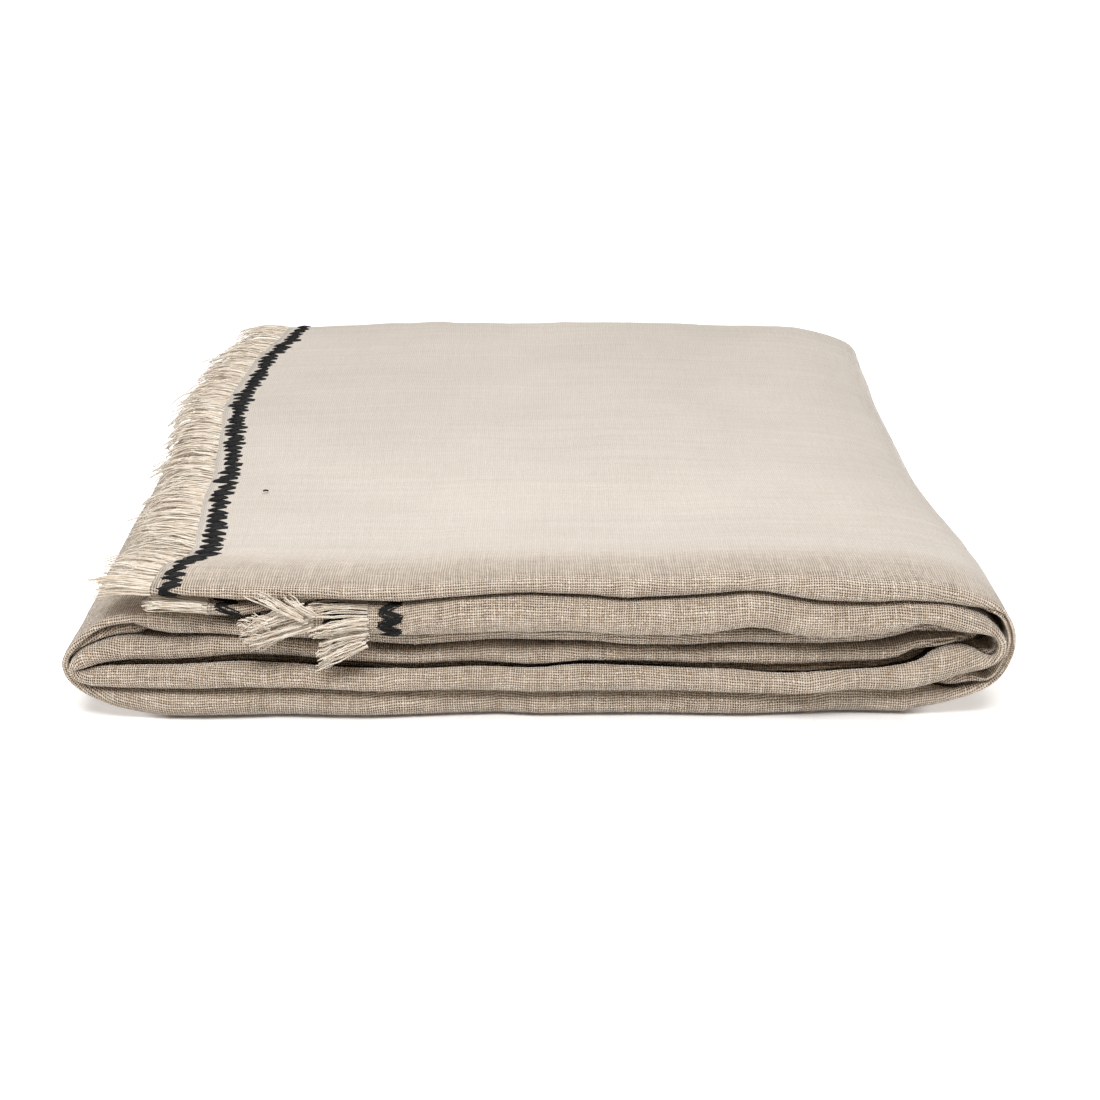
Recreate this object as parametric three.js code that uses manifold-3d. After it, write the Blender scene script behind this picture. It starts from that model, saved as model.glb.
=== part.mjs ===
// A tablecloth of heavy plain linen, folded up: in quarters along its length with both long edges turned
// in first, then halved so that its two fringed ends meet, then folded in three.
// Millimetres, +Z up. The front folds face -Y, and the origin is at the middle of the base.

import * as THREE from 'three';
import Module from 'manifold-3d';
import { mergeVertices } from 'three/addons/utils/BufferGeometryUtils.js';

// Driving dimensions
const DEPTH = 389;         // front folds to back folds
const SHEET = 1.0;         // thickness of the cloth
const AIR = 0.9;           // space left between two bands of folded cloth
const WOVEN_GAP = 0.3;     // parting between the cloth's edge and its fringe
const STRIP = 2.2;         // width of the strip that carries the fringe
const FRINGE = 29;         // length of the fringe

// The strip of cloth, four plies thick, lies in six bands. Heights of the lines between them at the front.
// five, four: tops of the two lowest bands; under: underside of the next one up; mid: between the two
// middle bands; three: top of the upper middle band; over: underside of what lies on it; two: underside
// of the top band; top: its top.
const FRONT_ROWS = [
  // x, five, four, under, mid, three, over, two, top
  [-190, 14.4, 25.8, 25.8, 36.0, 43.6, 46.0, 48.0, 62.5],
  [-165, 14.2, 25.4, 25.4, 36.5, 44.2, 46.0, 48.0, 65.0],
  [-138, 15.4, 28.0, 28.0, 37.5, 44.6, 46.0, 50.0, 65.0],
  [-112, 14.8, 27.0, 27.0, 35.6, 43.2, 43.2, 54.0, 65.0],
  [-88, 14.0, 25.0, 25.0, 33.4, 41.4, 41.4, 57.2, 65.6],
  [-62, 13.0, 24.0, 24.0, 32.0, 40.0, 40.0, 58.4, 66.5],
  [-35, 13.6, 25.0, 25.0, 34.0, 41.4, 41.4, 60.4, 68.0],
  [-8, 12.6, 24.2, 24.2, 34.6, 42.2, 42.2, 60.6, 69.0],
  [20, 13.2, 26.2, 26.2, 34.8, 42.0, 42.0, 59.4, 69.4],
  [75, 13.0, 24.8, 24.8, 33.0, 41.2, 41.6, 60.0, 70.2],
  [95, 13.2, 24.0, 24.0, 32.8, 40.8, 44.2, 61.6, 70.8],
  [115, 13.2, 23.6, 23.6, 32.6, 40.2, 40.2, 58.0, 70.2],
  [140, 14.2, 24.6, 24.6, 32.8, 40.4, 40.4, 57.6, 69.6],
  [160, 12.8, 20.4, 26.0, 34.6, 42.2, 42.2, 58.2, 68.4],
  [176, 13.8, 21.4, 28.4, 36.0, 43.4, 43.4, 56.2, 66.0],
];
// The same lines deep inside the stack and at its back.
const BACK_ROWS = [
  [-190, 12.6, 24.2, 24.2, 34.4, 44.4, 51.5, 53.5, 66.0],
  [-120, 12.2, 23.8, 23.8, 34.0, 44.0, 44.0, 56.0, 68.0],
  [-60, 12.2, 23.6, 23.6, 33.8, 43.6, 43.6, 57.4, 70.6],
  [0, 11.8, 23.2, 23.2, 33.4, 43.8, 43.8, 57.0, 69.4],
  [60, 12.2, 23.6, 23.6, 33.8, 44.0, 44.0, 57.6, 70.8],
  [120, 12.0, 23.2, 23.2, 33.4, 43.4, 43.4, 56.2, 68.0],
  [176, 12.2, 22.4, 26.0, 34.6, 43.4, 43.4, 55.4, 66.4],
];
const COLUMN = { x: 0, five: 1, four: 2, under: 3, mid: 4, three: 5, over: 6, two: 7, top: 8 };
const NODES = [35, 190];   // depths between which the front rows give way to the back rows, evenly

// Bands from the fringed end on top to the one beneath it. up: 1 where the side of nose 1 faces up;
// lead: which of the band's two front noses covers the other; front and skew: how far back its front
// lies at x = 0, and how much more at x = 200; wave and phase: its unevenness.
const BANDS = {
  one: { low: 'two', high: 'top', up: 1, lead: 1, front: 4, skew: 0, wave: 0.8, phase: 0.3 },
  five: { low: null, high: 'five', up: -1, lead: 1, front: 3, skew: 3.5, wave: 0.7, phase: 2.1 },
  threeTop: { low: 'mid', high: 'three', up: 1, lead: 1, front: 10, skew: 0, wave: 1.0, phase: 4.0 },
  threeLow: { low: 'under', high: 'mid', up: -1, lead: 2, front: 6.5, skew: 0, wave: 1.0, phase: 5.2 },
  four: { low: 'five', high: 'four', up: 1, lead: 2, front: 2, skew: 0, wave: 0.8, phase: 1.2 },
  two: { low: 'over', high: 'two', up: -1, lead: 2, front: 0.5, skew: 0, wave: 0.6, phase: 3.3 },
};

// Turns that join the bands. reach: outermost x; mid: height of the outermost point; topX, lowX: where
// the turn leaves its upper and lower band; thick: the four plies pressed together; round: 1 is an
// ellipse and less is fuller; front: how far back its front edge lies; outer: the nose on the outside.
const TURNS = {
  outerRight: {
    reach: 209, mid: 40, topX: 156, lowX: 166, thick: 5.2, round: 1, front: 6,
    upper: 'one', lower: 'five', outer: 1, steps: 7,
  },
  outerLeft: {
    reach: -209.3, mid: 27, topX: -180, lowX: -165, thick: 5.2, round: 0.82, front: 3,
    upper: 'threeTop', lower: 'five', outer: 1, steps: 6,
  },
  middle: {
    reach: 189, mid: 35.6, topX: 179, lowX: 179, thick: 5.2, round: 0.9, front: 9,
    upper: 'threeTop', lower: 'threeLow', outer: 1, steps: 6,
  },
  innerLeft: {
    reach: -202.6, mid: 25.6, topX: -184, lowX: -184, thick: 5.2, round: 0.85, front: 3,
    upper: 'threeLow', lower: 'four', outer: 2, steps: 5,
  },
  innerRight: {
    reach: 202.2, mid: 38, topX: 168, lowX: 164, thick: 5.2, round: 1, front: 1.5,
    upper: 'two', lower: 'four', outer: 2, steps: 7,
  },
};

// Places where the covering nose draws back and its twin shows: at, width and how much cover is left.
const PEEKS = {
  two: [{ at: 172, width: 9, left: 0.45 }],
  threeTop: [{ at: -182, width: 10, left: 0.5 }],
};

// Towards its fringed end the top band's two noses part, and the lower one shows.
const PARTED = { from: -108, to: -66, cover: 0.35 };

// Past the end of the upper nose beneath, the lower one comes forward.
const UNCOVERED = { from: -76, to: -98, share: 0.6 };

// Towards the inner end of the strip's middle fold the two noses come level.
const BARED = { bands: ['threeTop', 'threeLow'], cover: [138, 166], tuck: [160, 179] };

// Outline of the two fringed ends: x of the woven edge at depths from the front.
const END_TOP = [
  [0, -164], [14, -161], [35, -158], [93, -168], [160, -171], [238, -175], [327, -169], [389, -161],
];
const END_TOP_TWIN = [[0, -149], [60, -150], [150, -157], [260, -160], [389, -155]];
const END_UNDER = [[0, -72], [60, -74], [170, -70], [290, -77], [350, -75], [389, -74]];
const END_UNDER_TWIN = [[0, -103], [60, -100], [170, -96], [290, -88], [350, -75], [389, -74]];
const END_BEND_TOP = -62;   // left of this x the top band runs out to its uneven end
const END_BEND_UNDER = -35;
const END_SLACK = 0.6;        // extra air above and below the end of the band beneath the top one
// How far the right-hand side draws in behind the front.
const DRAWN_IN = [[0, 0], [50, 1.5], [90, 5], [130, 10.5], [180, 13.5], [250, 14], [320, 12.5], [389, 10]];
// Soft dents and swells of the whole stack: where, how wide, and how deep at its top.
const SWELLS = [
  { x: 45, y: 72, wide: 62, deep: 30, rise: -1.6 },
  { x: -60, y: 170, wide: 70, deep: 60, rise: 0.9 },
  { x: 95, y: 230, wide: 60, deep: 70, rise: 0.8 },
];
const HEIGHT = 70;

const clamp = (v, low = 0, high = 1) => Math.min(high, Math.max(low, v));
const mix = (a, b, t) => a + (b - a) * t;
const smooth = (a, b, v) => {
  const t = clamp((v - a) / (b - a));
  return t * t * (3 - 2 * t);
};

// Smooth curve through a table's rows, read in one column.
function curve(rows, at, column = 1) {
  const last = rows.length - 1;
  if (at <= rows[0][0]) return rows[0][column];
  if (at >= rows[last][0]) return rows[last][column];
  let i = 0;
  while (rows[i + 1][0] < at) i += 1;
  const slope = (a, b) => (rows[b][column] - rows[a][column]) / (rows[b][0] - rows[a][0]);
  const tangent = (k) => slope(Math.max(k - 1, 0), Math.min(k + 1, last));
  const span = rows[i + 1][0] - rows[i][0];
  const t = (at - rows[i][0]) / span;
  const [h0, h1] = [(1 + 2 * t) * (1 - t) ** 2, t * t * (3 - 2 * t)];
  const [g0, g1] = [t * (1 - t) ** 2, t * t * (t - 1)];
  return h0 * rows[i][column] + h1 * rows[i + 1][column] + span * (g0 * tangent(i) + g1 * tangent(i + 1));
}

function lineHeight(name, x, y) {
  if (name === null) return 0;
  const back = clamp((y - NODES[0]) / (NODES[1] - NODES[0]));
  return mix(curve(FRONT_ROWS, x, COLUMN[name]), curve(BACK_ROWS, x, COLUMN[name]), back);
}

// Middle, side and half thickness of a band at x and depth y.
function bandAt(name, x, y) {
  const band = BANDS[name];
  const endRun = smooth(END_BEND_UNDER, END_BEND_UNDER - 20, x);
  let low = lineHeight(band.low, x, y) + (band.low === null ? 0 : AIR / 2);
  if (name === 'two') low += END_SLACK * endRun;
  let high = lineHeight(band.high, x, y) - AIR / 2;
  if (name === 'two') high -= END_SLACK * endRun;
  return { x, z: (low + high) / 2, side: [0, band.up], half: (high - low) / 2 };
}

// The same round a turn, at an angle of 0 at its upper band to 180 degrees at its lower one.
const THICK_RUN = [0, 60]; // degrees from a band within which the plies are pressed together

function turnAt(name, degrees, y) {
  const turn = TURNS[name];
  const upper = bandAt(turn.upper, turn.topX, y);
  const lower = bandAt(turn.lower, turn.lowX, y);
  const faceAt = (angle) => {
    const [s, c] = [Math.sin(angle), Math.cos(angle)];
    const [startX, startZ] = c > 0 ? [turn.topX, upper.z + upper.half] : [turn.lowX, lower.z - lower.half];
    const [out, over] = [Math.abs(s) ** turn.round, Math.abs(c) ** turn.round];
    return [startX + (turn.reach - startX) * out, turn.mid + (startZ - turn.mid) * over];
  };
  const angle = THREE.MathUtils.degToRad(degrees);
  const [step, least] = [0.02, 0.0005];
  const before = faceAt(Math.max(angle - step, least));
  const after = faceAt(Math.min(angle + step, Math.PI - least));
  const length = Math.hypot(after[0] - before[0], after[1] - before[1]);
  const hand = Math.sign(turn.reach);
  const out = [-(after[1] - before[1]) / length * hand, (after[0] - before[0]) / length * hand];
  const nearTop = 1 - smooth(...THICK_RUN, degrees);
  const nearLow = 1 - smooth(...THICK_RUN, 180 - degrees);
  const pressed = turn.thick / 2;
  const half = pressed + nearTop * (upper.half - pressed) + nearLow * (lower.half - pressed);
  const face = faceAt(angle);
  const sign = turn.outer === 1 ? 1 : -1;
  const side = [out[0] * sign, out[1] * sign];
  return { x: face[0] - out[0] * half, z: face[1] - out[1] * half, side, half };
}

// Front edge of a station: how far back it lies, and how much its leading nose covers the other.
function bandFront(name, x) {
  const band = BANDS[name];
  const ripple = Math.sin(x / 31 + band.phase) + 0.6 * Math.sin(x / 13 + 2 * band.phase);
  let cover = 1;
  for (const peek of PEEKS[name] ?? []) {
    cover *= 1 - (1 - peek.left) * Math.exp(-(((x - peek.at) / peek.width) ** 2));
  }
  const parted = name === 'one' ? 1 - smooth(PARTED.from, PARTED.to, x) : 0;
  cover = mix(cover, PARTED.cover, parted);
  let tucked = smooth(0, TUCKED, cover);
  if (BARED.bands.includes(name)) {
    cover *= 1 - smooth(...BARED.cover, x);
    tucked = 1 - smooth(...BARED.tuck, x);
  }
  const front = band.front + (band.skew * x) / 200 + band.wave * ripple;
  return { front, cover, tucked, lead: band.lead };
}

// Stations along the strip, from the fringed end on top to the one beneath it.
const STATION_GAP = 9;

function bandStations(name, from, to) {
  const [left, right] = [Math.min(from, to) + STATION_GAP, Math.max(from, to) - STATION_GAP];
  const between = FRONT_ROWS.map((row) => row[0]).filter((x) => x > left && x < right);
  const xs = [from, ...(from < to ? between : between.reverse()), to];
  return xs.map((x) => ({ at: (y) => bandAt(name, x, y), ...bandFront(name, x) }));
}

// Degrees from a band within which a turn leaves that band's front line, its cover and its twin's place:
// the leading nose first gives up its cover, and then its twin comes forward.
const FRONT_RUN = [0, 70];
const COVER_RUN = [0, 30];
const TUCK_RUN = [20, 75];

function turnStations(name, fromUpper) {
  const turn = TURNS[name];
  const [upper, lower] = [bandFront(turn.upper, turn.topX), bandFront(turn.lower, turn.lowX)];
  const stations = [];
  for (let i = 1; i < turn.steps; i += 1) {
    const degrees = fromUpper ? (180 * i) / turn.steps : 180 - (180 * i) / turn.steps;
    const left = (run) => [1 - smooth(...run, degrees), 1 - smooth(...run, 180 - degrees)];
    const [[top, low], [coverTop, coverLow]] = [FRONT_RUN, COVER_RUN].map(left);
    const [tuckTop, tuckLow] = left(TUCK_RUN);
    const front = turn.front + top * (upper.front - turn.front) + low * (lower.front - turn.front);
    const cover = coverTop * upper.cover + coverLow * lower.cover;
    const tucked = tuckTop * upper.tucked + tuckLow * lower.tucked;
    const lead = name === 'middle' ? (degrees < 90 ? 1 : 2) : turn.outer;
    stations.push({ at: (y) => turnAt(name, degrees, y), front, cover, lead, tucked });
  }
  return stations;
}

// Stations that run out to an uneven fringed end. nose: 1 or 2, each with its own outline.
function endStations(name, bend, outlines, shares) {
  const edge = (nose, y) => curve(outlines[nose - 1], y);
  return shares.map((share) => {
    const place = (nose, y) => mix(bend, edge(nose, y), share.run) - share.beyond;
    const front = bandFront(name, place(BANDS[name].lead, 0));
    const twinX = place(3 - BANDS[name].lead, 0);
    const covered = name === 'two' ? 1 - UNCOVERED.share * smooth(UNCOVERED.from, UNCOVERED.to, twinX) : 1;
    const at = (y, nose) => bandAt(name, place(nose, y), y);
    return { ...front, at, tucked: covered * front.tucked };
  });
}

const WOVEN_RUN = [0.25, 0.5, 0.75, 1].map((run) => ({ run, beyond: 0 }));
const FRINGE_RUN = [{ run: 1, beyond: WOVEN_GAP }, { run: 1, beyond: WOVEN_GAP + STRIP }];
const TOP_END = ['one', END_BEND_TOP, [END_TOP, END_TOP_TWIN]];
const UNDER_END = ['two', END_BEND_UNDER, [END_UNDER_TWIN, END_UNDER]];

function clothStations() {
  return [
    ...endStations(...TOP_END, WOVEN_RUN).reverse(),
    ...bandStations('one', END_BEND_TOP, TURNS.outerRight.topX),
    ...turnStations('outerRight', true),
    ...bandStations('five', TURNS.outerRight.lowX, TURNS.outerLeft.lowX),
    ...turnStations('outerLeft', false),
    ...bandStations('threeTop', TURNS.outerLeft.topX, TURNS.middle.topX),
    ...turnStations('middle', true),
    ...bandStations('threeLow', TURNS.middle.lowX, TURNS.innerLeft.topX),
    ...turnStations('innerLeft', true),
    ...bandStations('four', TURNS.innerLeft.lowX, TURNS.innerRight.lowX),
    ...turnStations('innerRight', false),
    ...bandStations('two', TURNS.innerRight.topX, END_BEND_UNDER),
    ...endStations(...UNDER_END, WOVEN_RUN),
  ];
}

// Middle line of the four plies across the strip, as [depth, side, nose]: side is measured from the
// strip's middle towards nose 1. It runs from one long hem round nose 1, the back fold and nose 2 to
// the other hem.
const ARC = [270, 225, 180, 135, 90];
const HEM_BACK = 12; // how far inside the back fold the long hems lie
const NOSE_GAP = 0.6; // between a nose and the twin it covers
const NOSE_AT = 4;    // how far behind the tip of a nose its band's height is taken
const TUCKED = 0.35;  // share of cover from which the twin lies wholly behind the leading nose
const RISE_RUN = 3;   // run in which a nose comes back to its inner ply

function sectionLine(station) {
  const twin = 3 - station.lead;
  const halfAt = (y, nose) => station.at(y, nose).half;
  const frontHalf = halfAt(station.front + NOSE_AT, station.lead);
  const pitch = (half) => (2 * half - SHEET) / 3;
  const outerPly = (half) => half - SHEET / 2;
  const innerPly = (half) => pitch(half) / 2;

  const top = outerPly(frontHalf);
  const bottom = mix(innerPly(frontHalf), -outerPly(frontHalf), station.cover);
  const tall = (top - bottom) / 2;
  const deep = Math.min(tall * 1.15, 8);
  const rise = innerPly(frontHalf) - bottom;
  const twinFront = station.front + station.tucked * (deep + rise + SHEET + NOSE_GAP);
  const twinHalf = halfAt(twinFront + NOSE_AT, twin);
  const twinTall = (outerPly(twinHalf) - innerPly(twinHalf)) / 2;

  const leadNose = ARC.map((degrees) => {
    const angle = THREE.MathUtils.degToRad(degrees);
    const middle = (top + bottom) / 2;
    return [station.front + deep * (1 + Math.cos(angle)), middle + tall * Math.sin(angle), station.lead];
  });
  const leadRise = [station.front + deep + Math.max(rise, RISE_RUN), innerPly(frontHalf), station.lead];
  const twinNose = ARC.map((degrees) => {
    const angle = THREE.MathUtils.degToRad(degrees);
    const middle = (outerPly(twinHalf) + innerPly(twinHalf)) / 2;
    return [twinFront + twinTall * (1 + Math.cos(angle)), middle + twinTall * Math.sin(angle), twin];
  });
  const twinRise = [twinFront + twinTall + RISE_RUN, innerPly(twinHalf), twin];

  const backHalf = halfAt(DEPTH, 1);
  const backDeep = Math.min(outerPly(backHalf), 5);
  const run = (ply, nose) => NODES.map((y) => [y, ply(halfAt(y, nose)), nose]);
  const hemY = DEPTH - backDeep - HEM_BACK;
  const hem = (nose) => [[hemY, innerPly(halfAt(hemY, nose)), nose]];
  const foldY = DEPTH - backDeep - SHEET / 2;
  const arm = (nose) => {
    const [noseLine, riseLine] = nose === station.lead ? [leadNose, leadRise] : [twinNose, twinRise];
    return [
      ...hem(nose), ...run(innerPly, nose).reverse(), riseLine, ...noseLine, ...run(outerPly, nose),
      [foldY, outerPly(backHalf), nose],
    ];
  };
  const sideOne = arm(1);
  const sideTwo = arm(2).reverse().map(([y, side, nose]) => [y, -side, nose]);
  return [...sideOne, [foldY + backDeep, 0, 1], ...sideTwo];
}

// Both faces of the sheet at a station, as points in space.
function sectionLoop(station) {
  const line = sectionLine(station);
  const face = (hand) => line.map(([y, side, nose], i) => {
    const before = line[Math.max(i - 1, 0)];
    const after = line[Math.min(i + 1, line.length - 1)];
    const back = [y - before[0], side - before[1]];
    const ahead = [after[0] - y, after[1] - side];
    const unit = ([a, b]) => [a / (Math.hypot(a, b) || 1), b / (Math.hypot(a, b) || 1)];
    const [along, next] = [unit(back), unit(ahead)];
    const tangent = unit([along[0] + next[0], along[1] + next[1]]);
    const offset = (hand * SHEET) / 2;
    return place(station, y + tangent[1] * offset, side - tangent[0] * offset, nose);
  });
  return [face(1), face(-1)];
}

// A point of the stack at a station: depth y from the front plane and distance from the strip's middle.
function place(station, y, side, nose) {
  const strip = station.at(clamp(y, 0, DEPTH), nose);
  const x = strip.x + strip.side[0] * side;
  const z = strip.z + strip.side[1] * side;
  return settle(x, y, z);
}

function settle(x, y, z) {
  const drawn = curve(DRAWN_IN, clamp(y, 0, DEPTH)) * smooth(20, 200, x);
  let lift = 0;
  for (const swell of SWELLS) {
    lift += swell.rise * Math.exp(-(((x - swell.x) / swell.wide) ** 2) - ((y - swell.y) / swell.deep) ** 2);
  }
  return new THREE.Vector3(x - drawn, y - DEPTH / 2, z * (1 + lift / HEIGHT));
}

// Closed body through the loops of a row of stations. Each loop has the two faces of the sheet.
function loftSheet(loops) {
  const points = [];
  const count = loops[0][0].length;
  for (const [front, back] of loops) points.push(...front, ...back);
  const id = (row, face, i) => (row * 2 + face) * count + i;
  const faces = [];
  // Facing quads of neighbouring bands are cut along the same diagonal, so that they keep their air.
  const quad = (a, b, c, d) => {
    const rising = (points[c].x - points[a].x) * (points[c].y - points[a].y) >= 0;
    faces.push(...(rising ? [a, b, c, a, c, d] : [a, b, d, b, c, d]));
  };
  for (let row = 0; row < loops.length - 1; row += 1) {
    for (let i = 0; i < count - 1; i += 1) {
      quad(id(row, 0, i), id(row, 0, i + 1), id(row + 1, 0, i + 1), id(row + 1, 0, i));
      quad(id(row, 1, i), id(row + 1, 1, i), id(row + 1, 1, i + 1), id(row, 1, i + 1));
    }
    for (const i of [0, count - 1]) {
      const [a, b, c, d] = [id(row, 0, i), id(row + 1, 0, i), id(row + 1, 1, i), id(row, 1, i)];
      if (i === 0) quad(a, b, c, d);
      else quad(d, c, b, a);
    }
  }
  for (const row of [0, loops.length - 1]) {
    for (let i = 0; i < count - 1; i += 1) {
      const [a, b, c, d] = [id(row, 0, i), id(row, 1, i), id(row, 1, i + 1), id(row, 0, i + 1)];
      if (row === 0) quad(a, b, c, d);
      else quad(d, c, b, a);
    }
  }
  return facingOut(points, faces);
}

function facingOut(points, faces) {
  let volume = 0;
  for (let i = 0; i < faces.length; i += 3) {
    const [a, b, c] = [points[faces[i]], points[faces[i + 1]], points[faces[i + 2]]];
    volume += a.dot(b.clone().cross(c)) / 6;
  }
  if (volume < 0) faces.reverse();
  const geometry = new THREE.BufferGeometry().setFromPoints(points);
  geometry.setIndex(faces);
  return geometry;
}

// Locks of the fringe, each a three-sided tapered lock of yarn. root, belly: radii; bellyAt: share of the
// length; bow, uneven: how far belly and tip sway where the locks stand wide apart; shift: share of the
// pitch; shorter: half the spread in length; droop: how late they fall.
const LOCK = {
  root: 0.42, belly: 1.2, bellyAt: 0.45, bow: 2.2, uneven: 3.5, wide: 6,
  shift: 0.15, shorter: 0.07, droop: 1.5,
};
// Spacing of the locks and how far they fall and lean forward, on each part of the folded end. The parts
// run from one hem to the other: the inner ply, nose and outer ply of nose 1, the back fold, and the
// same of nose 2 the other way about. until: the last segment of the section line in that part.
const TOP_FRINGE = [
  { until: 2, pitch: 22, fall: 1.4, forward: 0 },
  { until: 7, pitch: 3.0, fall: 3.5, forward: 3 },
  { until: 10, pitch: 6.6, fall: 4.0, forward: 0 },
  { until: 12, pitch: 5.5, fall: 1.5, forward: 0 },
  { until: 15, pitch: 22, fall: 0.3, forward: 0 },
  { until: 20, pitch: 3.4, fall: 2.0, forward: 1.3 },
  { until: 23, pitch: 22, fall: 1.0, forward: 0 },
];
const UNDER_FRINGE = [
  { until: 2, pitch: 22, fall: 0.4, forward: 0 },
  { until: 4, pitch: 3.2, fall: 0.8, forward: 1 },
  { until: 6, pitch: 2.4, fall: 5.0, forward: 5 },
  { until: 7, pitch: 2.4, fall: 3.0, forward: 7 },
  { until: 10, pitch: 22, fall: -0.7, forward: 0 },
  { until: 12, pitch: 5.5, fall: 0.5, forward: 0 },
  { until: 15, pitch: 22, fall: 3.6, forward: 0 },
  { until: 16, pitch: 2.6, fall: 0.8, forward: 2 },
  { until: 17, pitch: 2.4, fall: 3.0, forward: 3 },
  { until: 18, pitch: 2.2, fall: 6.5, forward: 4 },
  { until: 20, pitch: 40, fall: 6.5, forward: 4 },
  { until: 23, pitch: 26, fall: 0.6, forward: 0 },
];

// Even, repeatable unevenness between -1 and 1.
function unevenness(seed) {
  let state = seed;
  return () => {
    state = (state * 1664525 + 1013904223) % 4294967296;
    return (state / 4294967296) * 2 - 1;
  };
}

// A tapered lock from its root, through a belly, to a point.
function lock(root, belly, tip) {
  const along = belly.clone().sub(root).normalize();
  const across = new THREE.Vector3(0, 0, 1).cross(along).normalize();
  const over = along.clone().cross(across);
  const ring = (centre, radius) => [90, 210, 330].map((degrees) => {
    const angle = THREE.MathUtils.degToRad(degrees);
    const corner = centre.clone().addScaledVector(across, radius * Math.cos(angle));
    return corner.addScaledVector(over, radius * Math.sin(angle));
  });
  const points = [...ring(root, LOCK.root), ...ring(belly, LOCK.belly), tip];
  const faces = [0, 2, 1];
  for (const [i, j] of [[0, 1], [1, 2], [2, 0]]) {
    faces.push(i, j, j + 3, i, j + 3, i + 3, i + 3, j + 3, 6);
  }
  return facingOut(points, faces);
}

// Locks along a fringed end, rooted in the middle of the strip that carries them.
function locksAlong(end, plan, seed) {
  const [station] = endStations(...end, [{ run: 1, beyond: WOVEN_GAP + STRIP / 2 }]);
  const line = sectionLine(station);
  const next = unevenness(seed);
  const locks = [];
  let walked = 0;
  for (let i = 0; i < line.length - 1; i += 1) {
    const part = plan.find((row) => i <= row.until);
    const [from, to] = [line[i], line[i + 1]];
    const long = Math.hypot(to[0] - from[0], to[1] - from[1]);
    const freedom = Math.min(part.pitch / LOCK.wide, 1) / 2;
    let at = Math.max(part.pitch / 2 - walked, 0);
    for (; at < long; at += part.pitch) {
      const t = clamp((at + next() * part.pitch * LOCK.shift) / long);
      const root = place(station, ...from).lerp(place(station, ...to), t);
      const size = FRINGE * (1 - LOCK.shorter + LOCK.shorter * next());
      const sway = LOCK.uneven * next() * freedom;
      const bowed = LOCK.bow * next() * freedom + sway / 2;
      const point = (share, aside) => new THREE.Vector3(
        root.x - size * share,
        root.y + aside - part.forward * share,
        root.z - part.fall * share ** LOCK.droop,
      );
      locks.push(lock(root, point(LOCK.bellyAt, bowed), point(1, sway)));
    }
    walked = long - (at - part.pitch);
  }
  return locks;
}

const manifold = await Module();
manifold.setup();

function toSolid(geometry) {
  const merged = mergeVertices(geometry, 1e-5);
  return new manifold.Manifold(new manifold.Mesh({
    numProp: 3,
    vertProperties: new Float32Array(merged.attributes.position.array),
    triVerts: new Uint32Array(merged.index.array),
  }));
}

function toGeometry(solid) {
  const mesh = solid.getMesh();
  const geometry = new THREE.BufferGeometry();
  geometry.setAttribute('position', new THREE.BufferAttribute(new Float32Array(mesh.vertProperties), 3));
  geometry.setIndex([...mesh.triVerts]);
  return geometry;
}

// A fringed end's locks, fused at their roots to the narrow strip beside the woven edge.
function fringe(end, plan, seed) {
  const strip = loftSheet(endStations(...end, FRINGE_RUN).map(sectionLoop));
  const pieces = [strip, ...locksAlong(end, plan, seed)].map(toSolid);
  return toGeometry(manifold.Manifold.union(pieces));
}

const group = new THREE.Group();

function addMesh(name, geometry, finish) {
  const mesh = new THREE.Mesh(geometry, new THREE.MeshStandardMaterial(finish));
  mesh.name = name;
  group.add(mesh);
}

const linen = { color: 0xcbbda8, roughness: 0.92, metalness: 0 };
const looseYarn = { color: 0xe4d8c4, roughness: 0.95, metalness: 0 };
addMesh('cloth', loftSheet(clothStations().map(sectionLoop)), linen);
addMesh('fringe_top', fringe(TOP_END, TOP_FRINGE, 7), looseYarn);
addMesh('fringe_under', fringe(UNDER_END, UNDER_FRINGE, 21), looseYarn);

// The middle of the base is the origin.
const middle = new THREE.Box3().setFromObject(group).getCenter(new THREE.Vector3());
group.position.set(-middle.x, -middle.y, 0);

export default group;
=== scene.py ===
import math

import bmesh
import bpy
import numpy as np
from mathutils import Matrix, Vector, noise


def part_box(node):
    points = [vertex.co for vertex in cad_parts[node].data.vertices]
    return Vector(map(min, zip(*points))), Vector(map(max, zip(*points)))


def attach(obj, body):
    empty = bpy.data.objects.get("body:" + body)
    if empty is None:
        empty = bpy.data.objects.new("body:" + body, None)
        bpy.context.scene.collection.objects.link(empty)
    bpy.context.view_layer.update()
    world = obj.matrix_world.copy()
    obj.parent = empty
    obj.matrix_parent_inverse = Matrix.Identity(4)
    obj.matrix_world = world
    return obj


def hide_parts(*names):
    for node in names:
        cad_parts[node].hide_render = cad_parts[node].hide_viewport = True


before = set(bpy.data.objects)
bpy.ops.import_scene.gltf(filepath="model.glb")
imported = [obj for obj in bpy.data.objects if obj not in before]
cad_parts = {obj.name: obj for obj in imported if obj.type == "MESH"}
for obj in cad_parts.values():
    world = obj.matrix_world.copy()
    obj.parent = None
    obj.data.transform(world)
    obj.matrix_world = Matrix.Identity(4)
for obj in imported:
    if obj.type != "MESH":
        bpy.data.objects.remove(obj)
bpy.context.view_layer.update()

MM = 0.001

# The cloth and its folding, in millimetres: depth is measured from the front plane of the folded stack.
# The rows give the heights of the lines between the bands at places across, at the front and further back
DEPTH = 389.0
SHEET = 0.75
AIR = 0.7
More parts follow.
